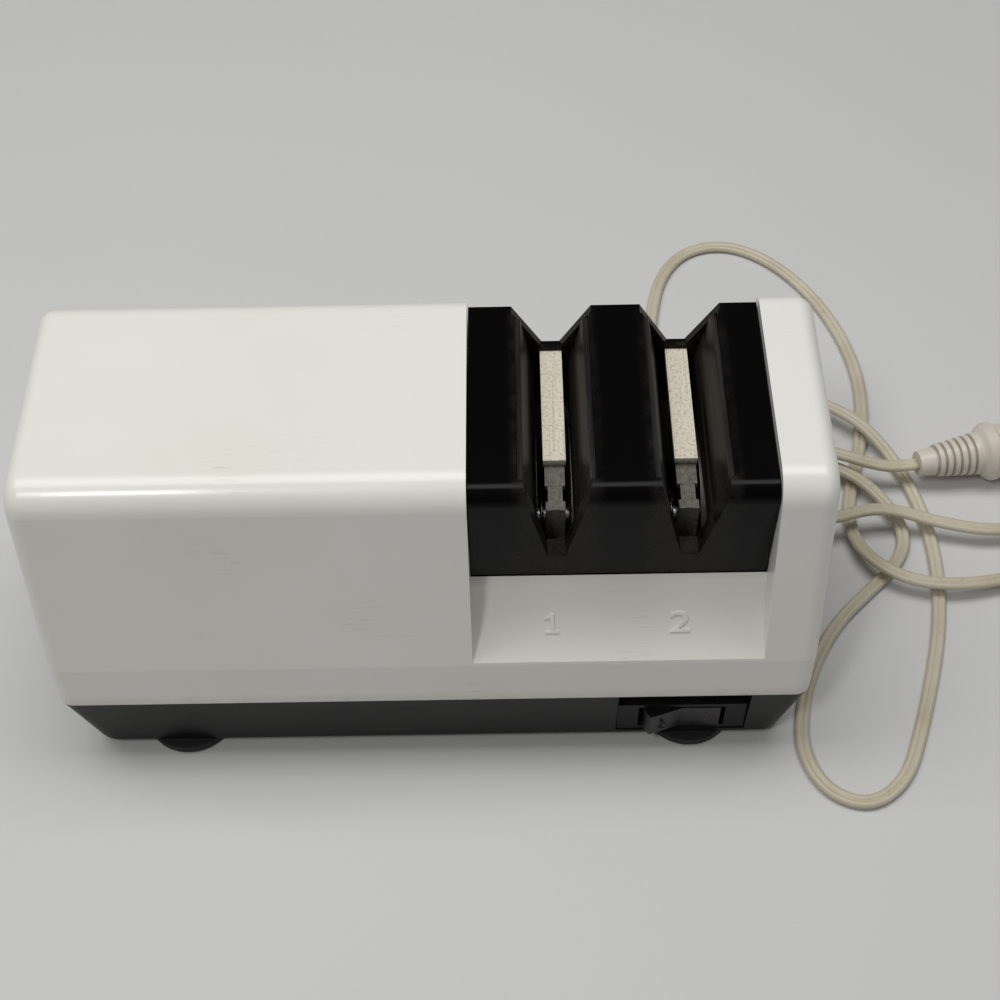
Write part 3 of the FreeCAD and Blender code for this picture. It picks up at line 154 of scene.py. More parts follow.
# %% Route of the lead
ROUTE = [
    (74, 60, 14), (74, 71, 14), (74.6, 90, 9), (76, 112, 3), (79, 136, 1.5),
    (83.5, 156, 1.5), (94, 170, 1.5), (110, 173.5, 1.5), (126, 165.5, 1.5), (140, 148.5, 1.5),
    (149.5, 127, 1.5), (154, 104, 1.5), (152.6, 82.5, 1.5), (148, 64, 1.5), (142.5, 47, 1.5),
    (141, 31, 3.2), (146.5, 17.5, 6.6), (159, 9.5, 6.4), (176, 8, 6.4), (194, 12, 4.6),
    (213, 14, 2.4), (231, 10.5, 1.5), (246, 14.5, 1.5), (253, 28, 1.7), (245.5, 41, 2.4), (230, 43.5, 3.4),
    (211, 36, 5), (192, 29, 6.5), (172, 32.5, 7.2), (155.5, 37.5, 9.4),
    (145, 36.5, 10.6), (133.5, 32.8, 10.4), (121.4, 34.6, 9.8), (115.8, 46, 8.8), (120.6, 57.8, 7.4),
    (132.5, 60.4, 6.7), (145, 54.8, 6.6), (155.5, 43.5, 4.0), (160.5, 30.5, 1.6), (154.5, 18.5, 1.5),
    (143.5, 8.5, 1.5), (132, -3, 1.5), (123, -17.5, 1.5), (117, -33.5, 1.5), (114.6, -49.5, 1.5),
    (120.5, -64, 1.5), (134, -69.5, 1.5), (146.5, -60.5, 1.5), (153.5, -43.5, 1.5), (160, -25, 1.5),
    (165.5, -6, 1.5), (168.6, 13.5, 1.5), (168.6, 33, 1.5), (165.5, 51, 1.6), (159.5, 66.5, 3.0),
    (150, 77.5, 7.4), (137.8, 87.5, 6.6), (124.5, 93, 5.4), (111.5, 91.5, 4.8), (103, 82.5, 4.8),
    (103.5, 71, 6), (113.5, 64.6, 7.6), (127, 65.6, 9.2), (140, 60.6, 10.8), (150.5, 56.2, 10.5),
    (159.14, 54.55, 10.35), (166.5, 56, 10.35),
]

route_curve = bpy.data.curves.new("lead_route", "CURVE")
route_curve.dimensions = "3D"
route_curve.resolution_u = 8
spline = route_curve.splines.new("NURBS")
spline.points.add(len(ROUTE) - 1)
for point, place in zip(spline.points, ROUTE):
    point.co = (place[0] * MM, place[1] * MM, place[2] * MM, 1.0)
spline.order_u = 3
spline.use_endpoint_u = True
route_object = bpy.data.objects.new("lead_route", route_curve)
bpy.context.scene.collection.objects.link(route_object)
line_mesh = bpy.data.meshes.new_from_object(route_object)
lead_line = [v.co.copy() for v in line_mesh.vertices]
bpy.data.objects.remove(route_object)
bpy.data.meshes.remove(line_mesh)
lead_length = sum((b - a).length for a, b in zip(lead_line[:-1], lead_line[1:]))
print("lead: %d points, %.3f m" % (len(lead_line), lead_length))

# %% [markdown]
# ## The flat twin lead
#
# Two insulated cores lie side by side in one skin, so the section is a soft figure of eight,
# wider than it is thick, with a groove along the middle of each face. It lies on its flat side.
# One section is set at each point of the route, its width always level, and the sections are
# joined into a tube. A curve bevel couldn't hold the section level, so the tube is a mesh.

# %% Lead section and tube
CORE = 1.3 * MM
CORE_APART = 1.0 * MM
ARC_STEPS = 12
SPREAD = math.radians(138)


def twin_section():
    section = []
    for side in (1, -1):
        for i in range(ARC_STEPS + 1):
            angle = SPREAD - 2 * SPREAD * i / ARC_STEPS
            across = side * (CORE_APART + CORE * math.cos(angle))
            section.append((across, side * CORE * math.sin(angle)))
    return section


section = twin_section()
corners = []
skins = []
for i, here in enumerate(lead_line):
    before = lead_line[max(i - 1, 0)]
    after = lead_line[min(i + 1, len(lead_line) - 1)]
    along = (after - before).normalized()
    wide = along.cross(Vector((0, 0, 1))).normalized()
    thick = wide.cross(along)
    corners += [here + wide * u + thick * v for u, v in section]
count = len(section)
for i in range(len(lead_line) - 1):
    for j in range(count):
        a = i * count + j
        b = i * count + (j + 1) % count
        skins.append((a, b, b + count, a + count))
skins.append(tuple(range(count)))
last = (len(lead_line) - 1) * count
skins.append(tuple(last + j for j in reversed(range(count))))
lead_mesh = bpy.data.meshes.new("lead")
lead_mesh.from_pydata([tuple(c) for c in corners], [], skins)
lead = bpy.data.objects.new("lead", lead_mesh)
bpy.context.scene.collection.objects.link(lead)
outward(lead)
only(lead)
bpy.ops.object.shade_smooth()
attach(lead, "housing")
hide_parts("power_cord")
print("lead faces:", len(lead.data.polygons))

# %% [markdown]
# ## Floor and light
#
# The machine stands on a pale grey sheet under a soft ceiling light, so its front face is in
# gentle shade and its shadow is short and falls to the front. One large soft panel behind and
# above gives that, and a grey world fills the shade. A small panel in front and to the left
# makes the streak on the round of the hood.

# %% Colours, floor and light
def srgb(text):
    """A linear colour from an sRGB hex value."""
    channels = [int(text[i:i + 2], 16) / 255.0 for i in (1, 3, 5)]
    linear = [c / 12.92 if c <= 0.04045 else ((c + 0.055) / 1.055) ** 2.4 for c in channels]
    return tuple(linear) + (1.0,)


def add(tree, kind, settings=None, links=None):
    """Add one node with its settings and the links that come into it."""
    node = tree.nodes.new(kind)
    for key, value in (settings or {}).items():
        if isinstance(key, str) and hasattr(node, key):
            setattr(node, key, value)
        else:
            node.inputs[key].default_value = value
    for key, source in (links or {}).items():
        tree.links.new(source, node.inputs[key])
    return node


def per_mm(size):
    """The scale of a pattern whose marks are this many millimetres apart."""
    return 1000.0 / size


def panel(name, place, target, wide, deep, watts):
    """A soft box that faces its target, with its wide side level along X."""
    light = bpy.data.lights.new(name, "AREA")
    light.shape = "RECTANGLE"
    light.size = wide
    light.size_y = deep
    light.energy = watts
    lamp = bpy.data.objects.new(name, light)
    bpy.context.scene.collection.objects.link(lamp)
    aim = (Vector(target) - Vector(place)).normalized()
    side = (Vector((1.0, 0.0, 0.0)) - aim * aim.x).normalized()
    turn = Matrix((side, side.cross(aim), -aim)).transposed().to_4x4()
    lamp.matrix_world = Matrix.Translation(place) @ turn
    return lamp


bpy.context.scene.view_settings.view_transform = "Standard"
world = bpy.data.worlds.new("studio")
bpy.context.scene.world = world
world.use_nodes = True
world.node_tree.nodes["Background"].inputs["Color"].default_value = srgb("#E2E1DF")
world.node_tree.nodes["Background"].inputs["Strength"].default_value = 0.2
panel("ceiling_panel", (-0.10, 0.20, 1.20), (0.0, 0.02, 0.05), 1.6, 0.5, 10.5)
panel("streak_panel", (-0.44, -0.64, 1.40), (-0.08, -0.03, 0.11), 0.17, 0.3, 4.5)

clear_selection()
bpy.ops.mesh.primitive_plane_add(size=6.0, location=(0.0, 0.0, 0.0))
floor = settle(bpy.context.object, "floor")
paper = bpy.data.materials.new("Coated paper sheet")
paper.use_nodes = True
tree = paper.node_tree
shader = tree.nodes["Principled BSDF"]
place = add(tree, "ShaderNodeTexCoord").outputs["Object"]
# Paper is almost even. A slow change of tone and a faint tooth keep it from looking like a void.
tone = add(tree, "ShaderNodeTexNoise", {"Scale": per_mm(180), "Detail": 3.0}, {"Vector": place})
mix = add(tree, "ShaderNodeMix", {"data_type": "RGBA", 6: srgb("#CCCCCB"), 7: srgb("#D0D0CF")},
          {0: tone.outputs["Fac"]})
tooth = add(tree, "ShaderNodeTexNoise", {"Scale": per_mm(0.8), "Detail": 2.0}, {"Vector": place})
bump = add(tree, "ShaderNodeBump", {"Strength": 0.06, "Distance": 0.0002},
           {"Height": tooth.outputs["Fac"]})
tree.links.new(mix.outputs[2], shader.inputs["Base Color"])
tree.links.new(bump.outputs["Normal"], shader.inputs["Normal"])
shader.inputs["Roughness"].default_value = 0.62
floor.data.materials.append(paper)
print("floor and lights are set")

# %% [markdown]
# ## Starting a material
#
# Every finish starts the same way: a principled shader with the colour, roughness and index of
# the real stuff, and its own place in the frame as coordinates. The patterns are then added one
# node at a time.

# %% Material start
def start_material(name, colour, roughness, metallic=0.0, ior=1.5, coat=0.0):
    material = bpy.data.materials.new(name)
    material.use_nodes = True
    tree = material.node_tree
    shader = tree.nodes["Principled BSDF"]
    shader.inputs["Base Color"].default_value = srgb(colour)
    shader.inputs["Roughness"].default_value = roughness
    shader.inputs["Metallic"].default_value = metallic
    shader.inputs["IOR"].default_value = ior
    shader.inputs["Coat Weight"].default_value = coat
    place = add(tree, "ShaderNodeTexCoord").outputs["Object"]
    return material, tree, shader, place


def dress(material, *names):
    """Give a finish to CAD nodes or to new pieces."""
    for name in names:
        piece = nodes[name] if isinstance(name, str) else name
        if not piece.material_slots:
            piece.data.materials.append(material)
        for slot in piece.material_slots:
            slot.material = material


STAGE_MIDDLES = (0.0372, 0.0752)
DUST_ENDS = 0.0135
DUST_FULL = 0.0085


def swarf_near_stages(tree, place):
    """1 inside the two notches, where grinding dust settles, and 0 elsewhere."""
    parts = add(tree, "ShaderNodeSeparateXYZ", None, {0: place})
    reach = []
    for middle in STAGE_MIDDLES:
        off = add(tree, "ShaderNodeMath", {"operation": "SUBTRACT", 1: middle},
                  {0: parts.outputs["X"]})
        size = add(tree, "ShaderNodeMath", {"operation": "ABSOLUTE"}, {0: off.outputs[0]})
        reach.append(size.outputs[0])
    nearest = add(tree, "ShaderNodeMath", {"operation": "MINIMUM"}, {0: reach[0], 1: reach[1]})
    beside = add(tree, "ShaderNodeMapRange", {"From Min": DUST_ENDS, "From Max": DUST_FULL},
                 {"Value": nearest.outputs[0]})
    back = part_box("guide_module")[1][1]
    inside = add(tree, "ShaderNodeMapRange",
                 {"From Min": back - 0.6 * MM, "From Max": back - 1.6 * MM},
                 {"Value": parts.outputs["Y"]})
    return add(tree, "ShaderNodeMath", {"operation": "MULTIPLY"},
               {0: beside.outputs[0], 1: inside.outputs[0]}).outputs[0]


print("material helpers are ready")

# %% [markdown]
# ## The cover: polished white ABS
#
# The cover is one moulding of ABS from a polished mould. The eye reads it by its clear, slightly
# wavy reflections. After years in a kitchen it has yellowed unevenly, has short brown scuffs on
# top, and holds a little grime along its lower edge. A slow noise drives the yellowing, a
# stretched noise under a mask gives the scuffs, and the height gives the grime.

# %% Cover ABS
cover_abs, tree, shader, place = start_material("ABS, polished mould, aged white", "#EAE8E2", 0.32,
                                                ior=1.46, coat=0.3)
shader.inputs["Coat Roughness"].default_value = 0.11
slow = add(tree, "ShaderNodeTexNoise", {"Scale": per_mm(70), "Detail": 3.0, "Roughness": 0.55},
           {"Vector": place})
age = add(tree, "ShaderNodeMapRange", {"From Min": 0.38, "From Max": 0.68},
          {"Value": slow.outputs["Fac"]})
white = add(tree, "ShaderNodeMix", {"data_type": "RGBA", 6: srgb("#E9E7E1"), 7: srgb("#E6E3DA")},
            {0: age.outputs[0]})
# Scuffs are 6 to 10 mm long and well under a millimetre wide.
lay = add(tree, "ShaderNodeMapping",
          {"Rotation": (0.3, 0.2, 0.55), "Scale": (120.0, 1400.0, 500.0)},
          {"Vector": place})
hair = add(tree, "ShaderNodeTexNoise", {"Scale": 1.0, "Detail": 1.0}, {"Vector": lay.outputs[0]})
patch = add(tree, "ShaderNodeTexNoise", {"Scale": per_mm(34), "Detail": 1.0}, {"Vector": place})
patch_on = add(tree, "ShaderNodeMapRange", {"From Min": 0.62, "From Max": 0.7},
               {"Value": patch.outputs["Fac"]})
hair_on = add(tree, "ShaderNodeMapRange", {"From Min": 0.63, "From Max": 0.7},
              {"Value": hair.outputs["Fac"]})
scuff = add(tree, "ShaderNodeMath", {"operation": "MULTIPLY"},
            {0: patch_on.outputs[0], 1: hair_on.outputs[0]})
scuff_part = add(tree, "ShaderNodeMath", {"operation": "MULTIPLY", 1: 0.16}, {0: scuff.outputs[0]})
scuffed = add(tree, "ShaderNodeMix", {"data_type": "RGBA", 7: srgb("#9A8A6E")},
              {0: scuff_part.outputs[0], 6: white.outputs[2]})
height = add(tree, "ShaderNodeSeparateXYZ", None, {0: place})
low = add(tree, "ShaderNodeMapRange", {"From Min": 0.0345, "From Max": 0.0302, "To Max": 0.5},
          {"Value": height.outputs["Z"]})
speck = add(tree, "ShaderNodeTexNoise", {"Scale": per_mm(5), "Detail": 4.0}, {"Vector": place})
grime = add(tree, "ShaderNodeMath", {"operation": "MULTIPLY"},
            {0: low.outputs[0], 1: speck.outputs["Fac"]})
aged = add(tree, "ShaderNodeMix", {"data_type": "RGBA", 7: srgb("#A79D88")},
           {0: grime.outputs[0], 6: scuffed.outputs[2]})
tree.links.new(aged.outputs[2], shader.inputs["Base Color"])
dull = add(tree, "ShaderNodeMapRange", {"To Min": 0.32, "To Max": 0.45},
           {"Value": scuff.outputs[0]})
tree.links.new(dull.outputs[0], shader.inputs["Roughness"])
ripple = add(tree, "ShaderNodeTexNoise", {"Scale": per_mm(9), "Detail": 1.0}, {"Vector": place})
bump = add(tree, "ShaderNodeBump", {"Strength": 0.05, "Distance": 0.0003},
           {"Height": ripple.outputs["Fac"]})
tree.links.new(bump.outputs["Normal"], shader.inputs["Normal"])
dress(cover_abs, "top_cover")
print("cover dressed")

# %% [markdown]
# ## The base tray: spark-eroded black ABS
#
# The tray's mould was left with the fine grain of spark erosion, so it is satin and dark grey
# rather than black. Its front has long pale rubs from years of being pushed about. They run
# along X, so the noise is stretched that way.

# %% Base ABS
base_abs, tree, shader, place = start_material("ABS, spark-eroded mould, black", "#161616", 0.42,
                                               ior=1.42)
# A film of dust and hand grease dulls the mirror of the pale floor, here and on the switch.
shader.inputs["Specular IOR Level"].default_value = 0.32
rub_lay = add(tree, "ShaderNodeMapping", {"Scale": (28.0, 700.0, 900.0)}, {"Vector": place})
rub = add(tree, "ShaderNodeTexNoise", {"Scale": 1.0, "Detail": 2.0}, {"Vector": rub_lay.outputs[0]})
rub_on = add(tree, "ShaderNodeMapRange", {"From Min": 0.66, "From Max": 0.8, "To Max": 0.35},
             {"Value": rub.outputs["Fac"]})
base_tone = add(tree, "ShaderNodeMix",
                {"data_type": "RGBA", 6: srgb("#141414"), 7: srgb("#5C5A56")},
                {0: rub_on.outputs[0]})
tree.links.new(base_tone.outputs[2], shader.inputs["Base Color"])
# The grain of the mould is about 0.3 mm across.
grain = add(tree, "ShaderNodeTexNoise", {"Scale": per_mm(0.3), "Detail": 2.0}, {"Vector": place})
bump = add(tree, "ShaderNodeBump", {"Strength": 0.12, "Distance": 0.00008},
           {"Height": grain.outputs["Fac"]})
tree.links.new(bump.outputs["Normal"], shader.inputs["Normal"])
dress(base_abs, "base_tray")
print("base dressed")

# %% [markdown]
# ## The guide module: glossy black ABS with grinding dust
#
# The module is black and polished outside, but each V holds a film of brown-grey metal dust.
# Dust only lies near the two stages, so its amount follows the distance from each stage's
# middle, broken up by noise. Where dust lies the gloss is gone.

# %% Module ABS
module_abs, tree, shader, place = start_material("ABS, polished mould, black", "#050506", 0.16,
                                                 ior=1.33)
# The same film lies on the module, and more of it.
shader.inputs["Specular IOR Level"].default_value = 0.2
near = swarf_near_stages(tree, place)
cloud = add(tree, "ShaderNodeTexNoise", {"Scale": per_mm(6), "Detail": 5.0, "Roughness": 0.65},
            {"Vector": place})
cloud_on = add(tree, "ShaderNodeMapRange", {"From Min": 0.42, "From Max": 0.72, "To Min": 0.15},
               {"Value": cloud.outputs["Fac"]})
dust = add(tree, "ShaderNodeMath", {"operation": "MULTIPLY"}, {0: near, 1: cloud_on.outputs[0]})
dust_part = add(tree, "ShaderNodeMath", {"operation": "MULTIPLY", 1: 0.4}, {0: dust.outputs[0]})
module_tone = add(tree, "ShaderNodeMix",
                  {"data_type": "RGBA", 6: srgb("#040405"), 7: srgb("#4A4038")},
                  {0: dust_part.outputs[0]})
tree.links.new(module_tone.outputs[2], shader.inputs["Base Color"])
module_gloss = add(tree, "ShaderNodeMapRange", {"To Min": 0.18, "To Max": 0.6},
                   {"Value": dust.outputs[0]})
tree.links.new(module_gloss.outputs[0], shader.inputs["Roughness"])
ripple = add(tree, "ShaderNodeTexNoise", {"Scale": per_mm(7), "Detail": 1.0}, {"Vector": place})
bump = add(tree, "ShaderNodeBump", {"Strength": 0.06, "Distance": 0.0003},
           {"Height": ripple.outputs["Fac"]})
tree.links.new(bump.outputs["Normal"], shader.inputs["Normal"])
dress(module_abs, "guide_module")
print("module dressed")

# %% [markdown]
# ## The guide plates: satin nylon, rubbed by blades
#
# The slanted plates are nylon, which is dull and a little waxy. Blades have drawn streaks along
# Y, front to back, and dust has stained them brown.

# %% Plate nylon
plate_nylon, tree, shader, place = start_material("Nylon, satin, dark brown dust", "#14110F", 0.45,
                                                  ior=1.45)
shader.inputs["Specular IOR Level"].default_value = 0.25
pull = add(tree, "ShaderNodeMapping", {"Scale": (500.0, 22.0, 420.0)}, {"Vector": place})
streak = add(tree, "ShaderNodeTexNoise", {"Scale": 1.0, "Detail": 4.0, "Roughness": 0.6},
             {"Vector": pull.outputs[0]})
streak_on = add(tree, "ShaderNodeMapRange", {"From Min": 0.4, "From Max": 0.75},
                {"Value": streak.outputs["Fac"]})
plate_tone = add(tree, "ShaderNodeMix",
                 {"data_type": "RGBA", 6: srgb("#0B0A09"), 7: srgb("#3A312A")},
                 {0: streak_on.outputs[0]})
tree.links.new(plate_tone.outputs[2], shader.inputs["Base Color"])
bump = add(tree, "ShaderNodeBump", {"Strength": 0.15, "Distance": 0.0001},
           {"Height": streak.outputs["Fac"]})
tree.links.new(bump.outputs["Normal"], shader.inputs["Normal"])
dress(plate_nylon, "guide_plate_1_left", "guide_plate_1_right", "guide_plate_2_left",
      "guide_plate_2_right")
print("plates dressed")

# %% [markdown]
# ## The divider bars: cream acetal, speckled with dust
#
# The bars are a cream plastic, matte, with brown specks and fine lines along their length. Low
# down, below the head and near the disks, they are painted dark grey: partly dust, and partly
# painted shade where the head shades the neck. Height decides how grey.

# %% Bar acetal
bar_acetal, tree, shader, place = start_material("Acetal, cream, dusty", "#DED6C2", 0.5, ior=1.48)
speck = add(tree, "ShaderNodeTexNoise", {"Scale": per_mm(0.9), "Detail": 5.0, "Roughness": 0.75},
            {"Vector": place})
speck_on = add(tree, "ShaderNodeMapRange", {"From Min": 0.5, "From Max": 0.68, "To Max": 0.75},
               {"Value": speck.outputs["Fac"]})
bar_tone = add(tree, "ShaderNodeMix", {"data_type": "RGBA", 6: srgb("#E3DBC8"), 7: srgb("#8B7A60")},
               {0: speck_on.outputs[0]})
line_lay = add(tree, "ShaderNodeMapping", {"Scale": (1500.0, 40.0, 1500.0)}, {"Vector": place})
line = add(tree, "ShaderNodeTexNoise", {"Scale": 1.0, "Detail": 1.0},
           {"Vector": line_lay.outputs[0]})
line_on = add(tree, "ShaderNodeMapRange", {"From Min": 0.58, "From Max": 0.7, "To Max": 0.3},
              {"Value": line.outputs["Fac"]})
lined = add(tree, "ShaderNodeMix", {"data_type": "RGBA", 7: srgb("#A5977C")},
            {0: line_on.outputs[0], 6: bar_tone.outputs[2]})
height = add(tree, "ShaderNodeSeparateXYZ", None, {0: place})
# Painted shade and dust: below the head the bar turns dark grey, for the head's shadow on the neck and for
# dust.
deep = add(tree, "ShaderNodeMapRange", {"From Min": 0.0905, "From Max": 0.0884, "To Max": 0.9},
           {"Value": height.outputs["Z"]})
mottle = add(tree, "ShaderNodeTexNoise", {"Scale": per_mm(1.6), "Detail": 5.0, "Roughness": 0.7},
             {"Vector": place})
mottle_on = add(tree, "ShaderNodeMapRange", {"From Min": 0.35, "From Max": 0.65},
                {"Value": mottle.outputs["Fac"]})
grey = add(tree, "ShaderNodeMix", {"data_type": "RGBA", 6: srgb("#1C1916"), 7: srgb("#5E5A52")},
           {0: mottle_on.outputs[0]})
dust_and_shade = add(tree, "ShaderNodeMix", {"data_type": "RGBA"},
            {0: deep.outputs[0], 6: lined.outputs[2], 7: grey.outputs[2]})
tree.links.new(dust_and_shade.outputs[2], shader.inputs["Base Color"])
bump = add(tree, "ShaderNodeBump", {"Strength": 0.3, "Distance": 0.0002},
           {"Height": speck.outputs["Fac"]})
tree.links.new(bump.outputs["Normal"], shader.inputs["Normal"])
dress(bar_acetal, "divider_bar_1", "divider_bar_2")
print("bars dressed")

# %% [markdown]
# ## Feet, switch, lead and plug
#
# The feet are moulded rubber, dull with a faint skin. The switch is black nylon with a fine
# grain, and its rocker is a little glossier where fingers press. The lead and the plug are soft
# PVC that has yellowed to cream and picked up grey handling marks.

# %% Rubber, switch plastics, PVC
foot_rubber, tree, shader, place = start_material("Rubber, moulded, black", "#161616", 0.72,
                                                  ior=1.52)
skin = add(tree, "ShaderNodeTexNoise", {"Scale": per_mm(1.2), "Detail": 4.0}, {"Vector": place})
bloom = add(tree, "ShaderNodeMix", {"data_type": "RGBA", 6: srgb("#0B0B0B"), 7: srgb("#171716")},
            {0: skin.outputs["Fac"]})
tree.links.new(bloom.outputs[2], shader.inputs["Base Color"])
bump = add(tree, "ShaderNodeBump", {"Strength": 0.2, "Distance": 0.0001},
           {"Height": skin.outputs["Fac"]})
tree.links.new(bump.outputs["Normal"], shader.inputs["Normal"])
dress(foot_rubber, "rubber_feet")

switch_nylon, tree, shader, place = start_material("Nylon, fine grain, black", "#0E0E0F", 0.46,
                                                   ior=1.46)
shader.inputs["Specular IOR Level"].default_value = 0.3
grain = add(tree, "ShaderNodeTexNoise", {"Scale": per_mm(0.35), "Detail": 3.0}, {"Vector": place})
tone = add(tree, "ShaderNodeMix", {"data_type": "RGBA", 6: srgb("#0B0B0C"), 7: srgb("#151516")},
           {0: grain.outputs["Fac"]})
tree.links.new(tone.outputs[2], shader.inputs["Base Color"])
bump = add(tree, "ShaderNodeBump", {"Strength": 0.18, "Distance": 0.00006},
           {"Height": grain.outputs["Fac"]})
tree.links.new(bump.outputs["Normal"], shader.inputs["Normal"])
dress(switch_nylon, "switch_housing")

rocker_nylon, tree, shader, place = start_material("Nylon, handled, black", "#101011", 0.3, ior=1.5)
smear = add(tree, "ShaderNodeTexNoise", {"Scale": per_mm(4), "Detail": 3.0}, {"Vector": place})
shine = add(tree, "ShaderNodeMapRange", {"To Min": 0.22, "To Max": 0.46},
            {"Value": smear.outputs["Fac"]})
tree.links.new(shine.outputs[0], shader.inputs["Roughness"])
dress(rocker_nylon, "switch_rocker")

cord_pvc, tree, shader, place = start_material("PVC, extruded, yellowed cream", "#DAD2BC", 0.42,
                                               ior=1.53)
slow = add(tree, "ShaderNodeTexNoise", {"Scale": per_mm(22), "Detail": 4.0}, {"Vector": place})
age = add(tree, "ShaderNodeMapRange", {"From Min": 0.35, "From Max": 0.7},
          {"Value": slow.outputs["Fac"]})
cream = add(tree, "ShaderNodeMix", {"data_type": "RGBA", 6: srgb("#C9C1AC"), 7: srgb("#BAB096")},
            {0: age.outputs[0]})
fine = add(tree, "ShaderNodeTexNoise", {"Scale": per_mm(2.2), "Detail": 4.0}, {"Vector": place})
mark = add(tree, "ShaderNodeMapRange", {"From Min": 0.6, "From Max": 0.78, "To Max": 0.4},
           {"Value": fine.outputs["Fac"]})
handled = add(tree, "ShaderNodeMix", {"data_type": "RGBA", 7: srgb("#8C8169")},
              {0: mark.outputs[0], 6: cream.outputs[2]})
tree.links.new(handled.outputs[2], shader.inputs["Base Color"])
bump = add(tree, "ShaderNodeBump", {"Strength": 0.12, "Distance": 0.0002},
           {"Height": fine.outputs["Fac"]})
tree.links.new(bump.outputs["Normal"], shader.inputs["Normal"])
dress(cord_pvc, lead, "cord_gland")

plug_pvc, tree, shader, place = start_material("PVC, moulded, grey cream", "#D8D0C6", 0.38,
                                               ior=1.53)
slow = add(tree, "ShaderNodeTexNoise", {"Scale": per_mm(12), "Detail": 4.0}, {"Vector": place})
tone = add(tree, "ShaderNodeMix", {"data_type": "RGBA", 6: srgb("#DCD5CC"), 7: srgb("#C9BFB0")},
           {0: slow.outputs["Fac"]})
tree.links.new(tone.outputs[2], shader.inputs["Base Color"])
bump = add(tree, "ShaderNodeBump", {"Strength": 0.06, "Distance": 0.0003},
           {"Height": slow.outputs["Fac"]})
tree.links.new(bump.outputs["Normal"], shader.inputs["Normal"])
dress(plug_pvc, "plug_body")
print("rubber, switch and PVC dressed")

# %% [markdown]
# ## Metals inside
#
# The shaft is ground, so its marks run round it. The brackets are cold-rolled and zinc plated,
# with a faint crystal bloom. The motor's stack is 0.5 mm sheets, whose edges show as lines along
# the shaft. Bushes are sintered bronze, porous and oily. Terminals and blades are brass.

# %% Metals
shaft_steel, tree, shader, place = start_material("Steel, ground", "#B9B9BA", 0.3, metallic=1.0)
ring_lay = add(tree, "ShaderNodeMapping", {"Scale": (2500.0, 60.0, 60.0)}, {"Vector": place})
ring = add(tree, "ShaderNodeTexNoise", {"Scale": 1.0, "Detail": 2.0},
           {"Vector": ring_lay.outputs[0]})
polish = add(tree, "ShaderNodeMapRange", {"To Min": 0.2, "To Max": 0.42},
             {"Value": ring.outputs["Fac"]})
tree.links.new(polish.outputs[0], shader.inputs["Roughness"])
bump = add(tree, "ShaderNodeBump", {"Strength": 0.1, "Distance": 0.00003},
           {"Height": ring.outputs["Fac"]})
tree.links.new(bump.outputs["Normal"], shader.inputs["Normal"])
dress(shaft_steel, "main_shaft", "drive_pins")

stack_steel, tree, shader, place = start_material("Electrical steel, stacked sheets", "#6E7074",
                                                  0.42, metallic=1.0)
# Sheets are 0.5 mm thick. They are drawn 1 mm thick, so that the lines show. With its scale
# divided by a full turn, one period of this wave is a light and a dark sheet, within 2 percent.
sheets = add(tree, "ShaderNodeTexWave",
             {"wave_type": "BANDS", "bands_direction": "X", "Scale": per_mm(1.0) / math.tau,
              "Distortion": 0.4},
             {"Vector": place})
sheet_tone = add(tree, "ShaderNodeMix",
                 {"data_type": "RGBA", 6: srgb("#4D4E52"), 7: srgb("#85878C")},
                 {0: sheets.outputs["Fac"]})
tree.links.new(sheet_tone.outputs[2], shader.inputs["Base Color"])
bump = add(tree, "ShaderNodeBump", {"Strength": 0.4, "Distance": 0.0001},
           {"Height": sheets.outputs["Fac"]})
tree.links.new(bump.outputs["Normal"], shader.inputs["Normal"])
dress(stack_steel, "motor_stator", "rotor_core")

zinc_plate, tree, shader, place = start_material("Steel, zinc plated", "#A9ADB2", 0.36,
                                                 metallic=1.0)
crystal = add(tree, "ShaderNodeTexVoronoi", {"Scale": per_mm(3.0)}, {"Vector": place})
zinc_tone = add(tree, "ShaderNodeMix",
                {"data_type": "RGBA", 6: srgb("#9EA3A8"), 7: srgb("#B7BABD")},
                {0: crystal.outputs["Distance"]})
tree.links.new(zinc_tone.outputs[2], shader.inputs["Base Color"])
dress(zinc_plate, "motor_bracket_front", "motor_bracket_rear", "shaft_end_bracket", "motor_spacers",
      "motor_screws", "foot_screws", "cover_screws")

bronze, tree, shader, place = start_material("Bronze, sintered, oiled", "#9A7140", 0.45,
                                             metallic=1.0)
pore = add(tree, "ShaderNodeTexVoronoi", {"Scale": per_mm(0.4)}, {"Vector": place})
pore_tone = add(tree, "ShaderNodeMix",
                {"data_type": "RGBA", 6: srgb("#6F4E2A"), 7: srgb("#AE8450")},
                {0: pore.outputs["Distance"]})
tree.links.new(pore_tone.outputs[2], shader.inputs["Base Color"])
dress(bronze, "shaft_bearings")

brass, tree, shader, place = start_material("Brass, stamped", "#C9A55C", 0.28, metallic=1.0)
tarnish = add(tree, "ShaderNodeTexNoise", {"Scale": per_mm(3), "Detail": 4.0}, {"Vector": place})
brass_tone = add(tree, "ShaderNodeMix",
                 {"data_type": "RGBA", 6: srgb("#D2B06A"), 7: srgb("#A98848")},
                 {0: tarnish.outputs["Fac"]})
tree.links.new(brass_tone.outputs[2], shader.inputs["Base Color"])
dress(brass, "switch_terminals", "plug_blades")
print("metals dressed")

# %% [markdown]
# ## Grit, ferrite, fan and coil
#
# The disks are steel plates with diamond grit held in nickel: 0.1 mm grains on the first stage
# and finer ones on the second, drawn coarser here so that they show. Ferrite magnets are dull and
# almost black. The fan is black nylon, and the coil is bound in yellow polyester tape 12 mm wide.

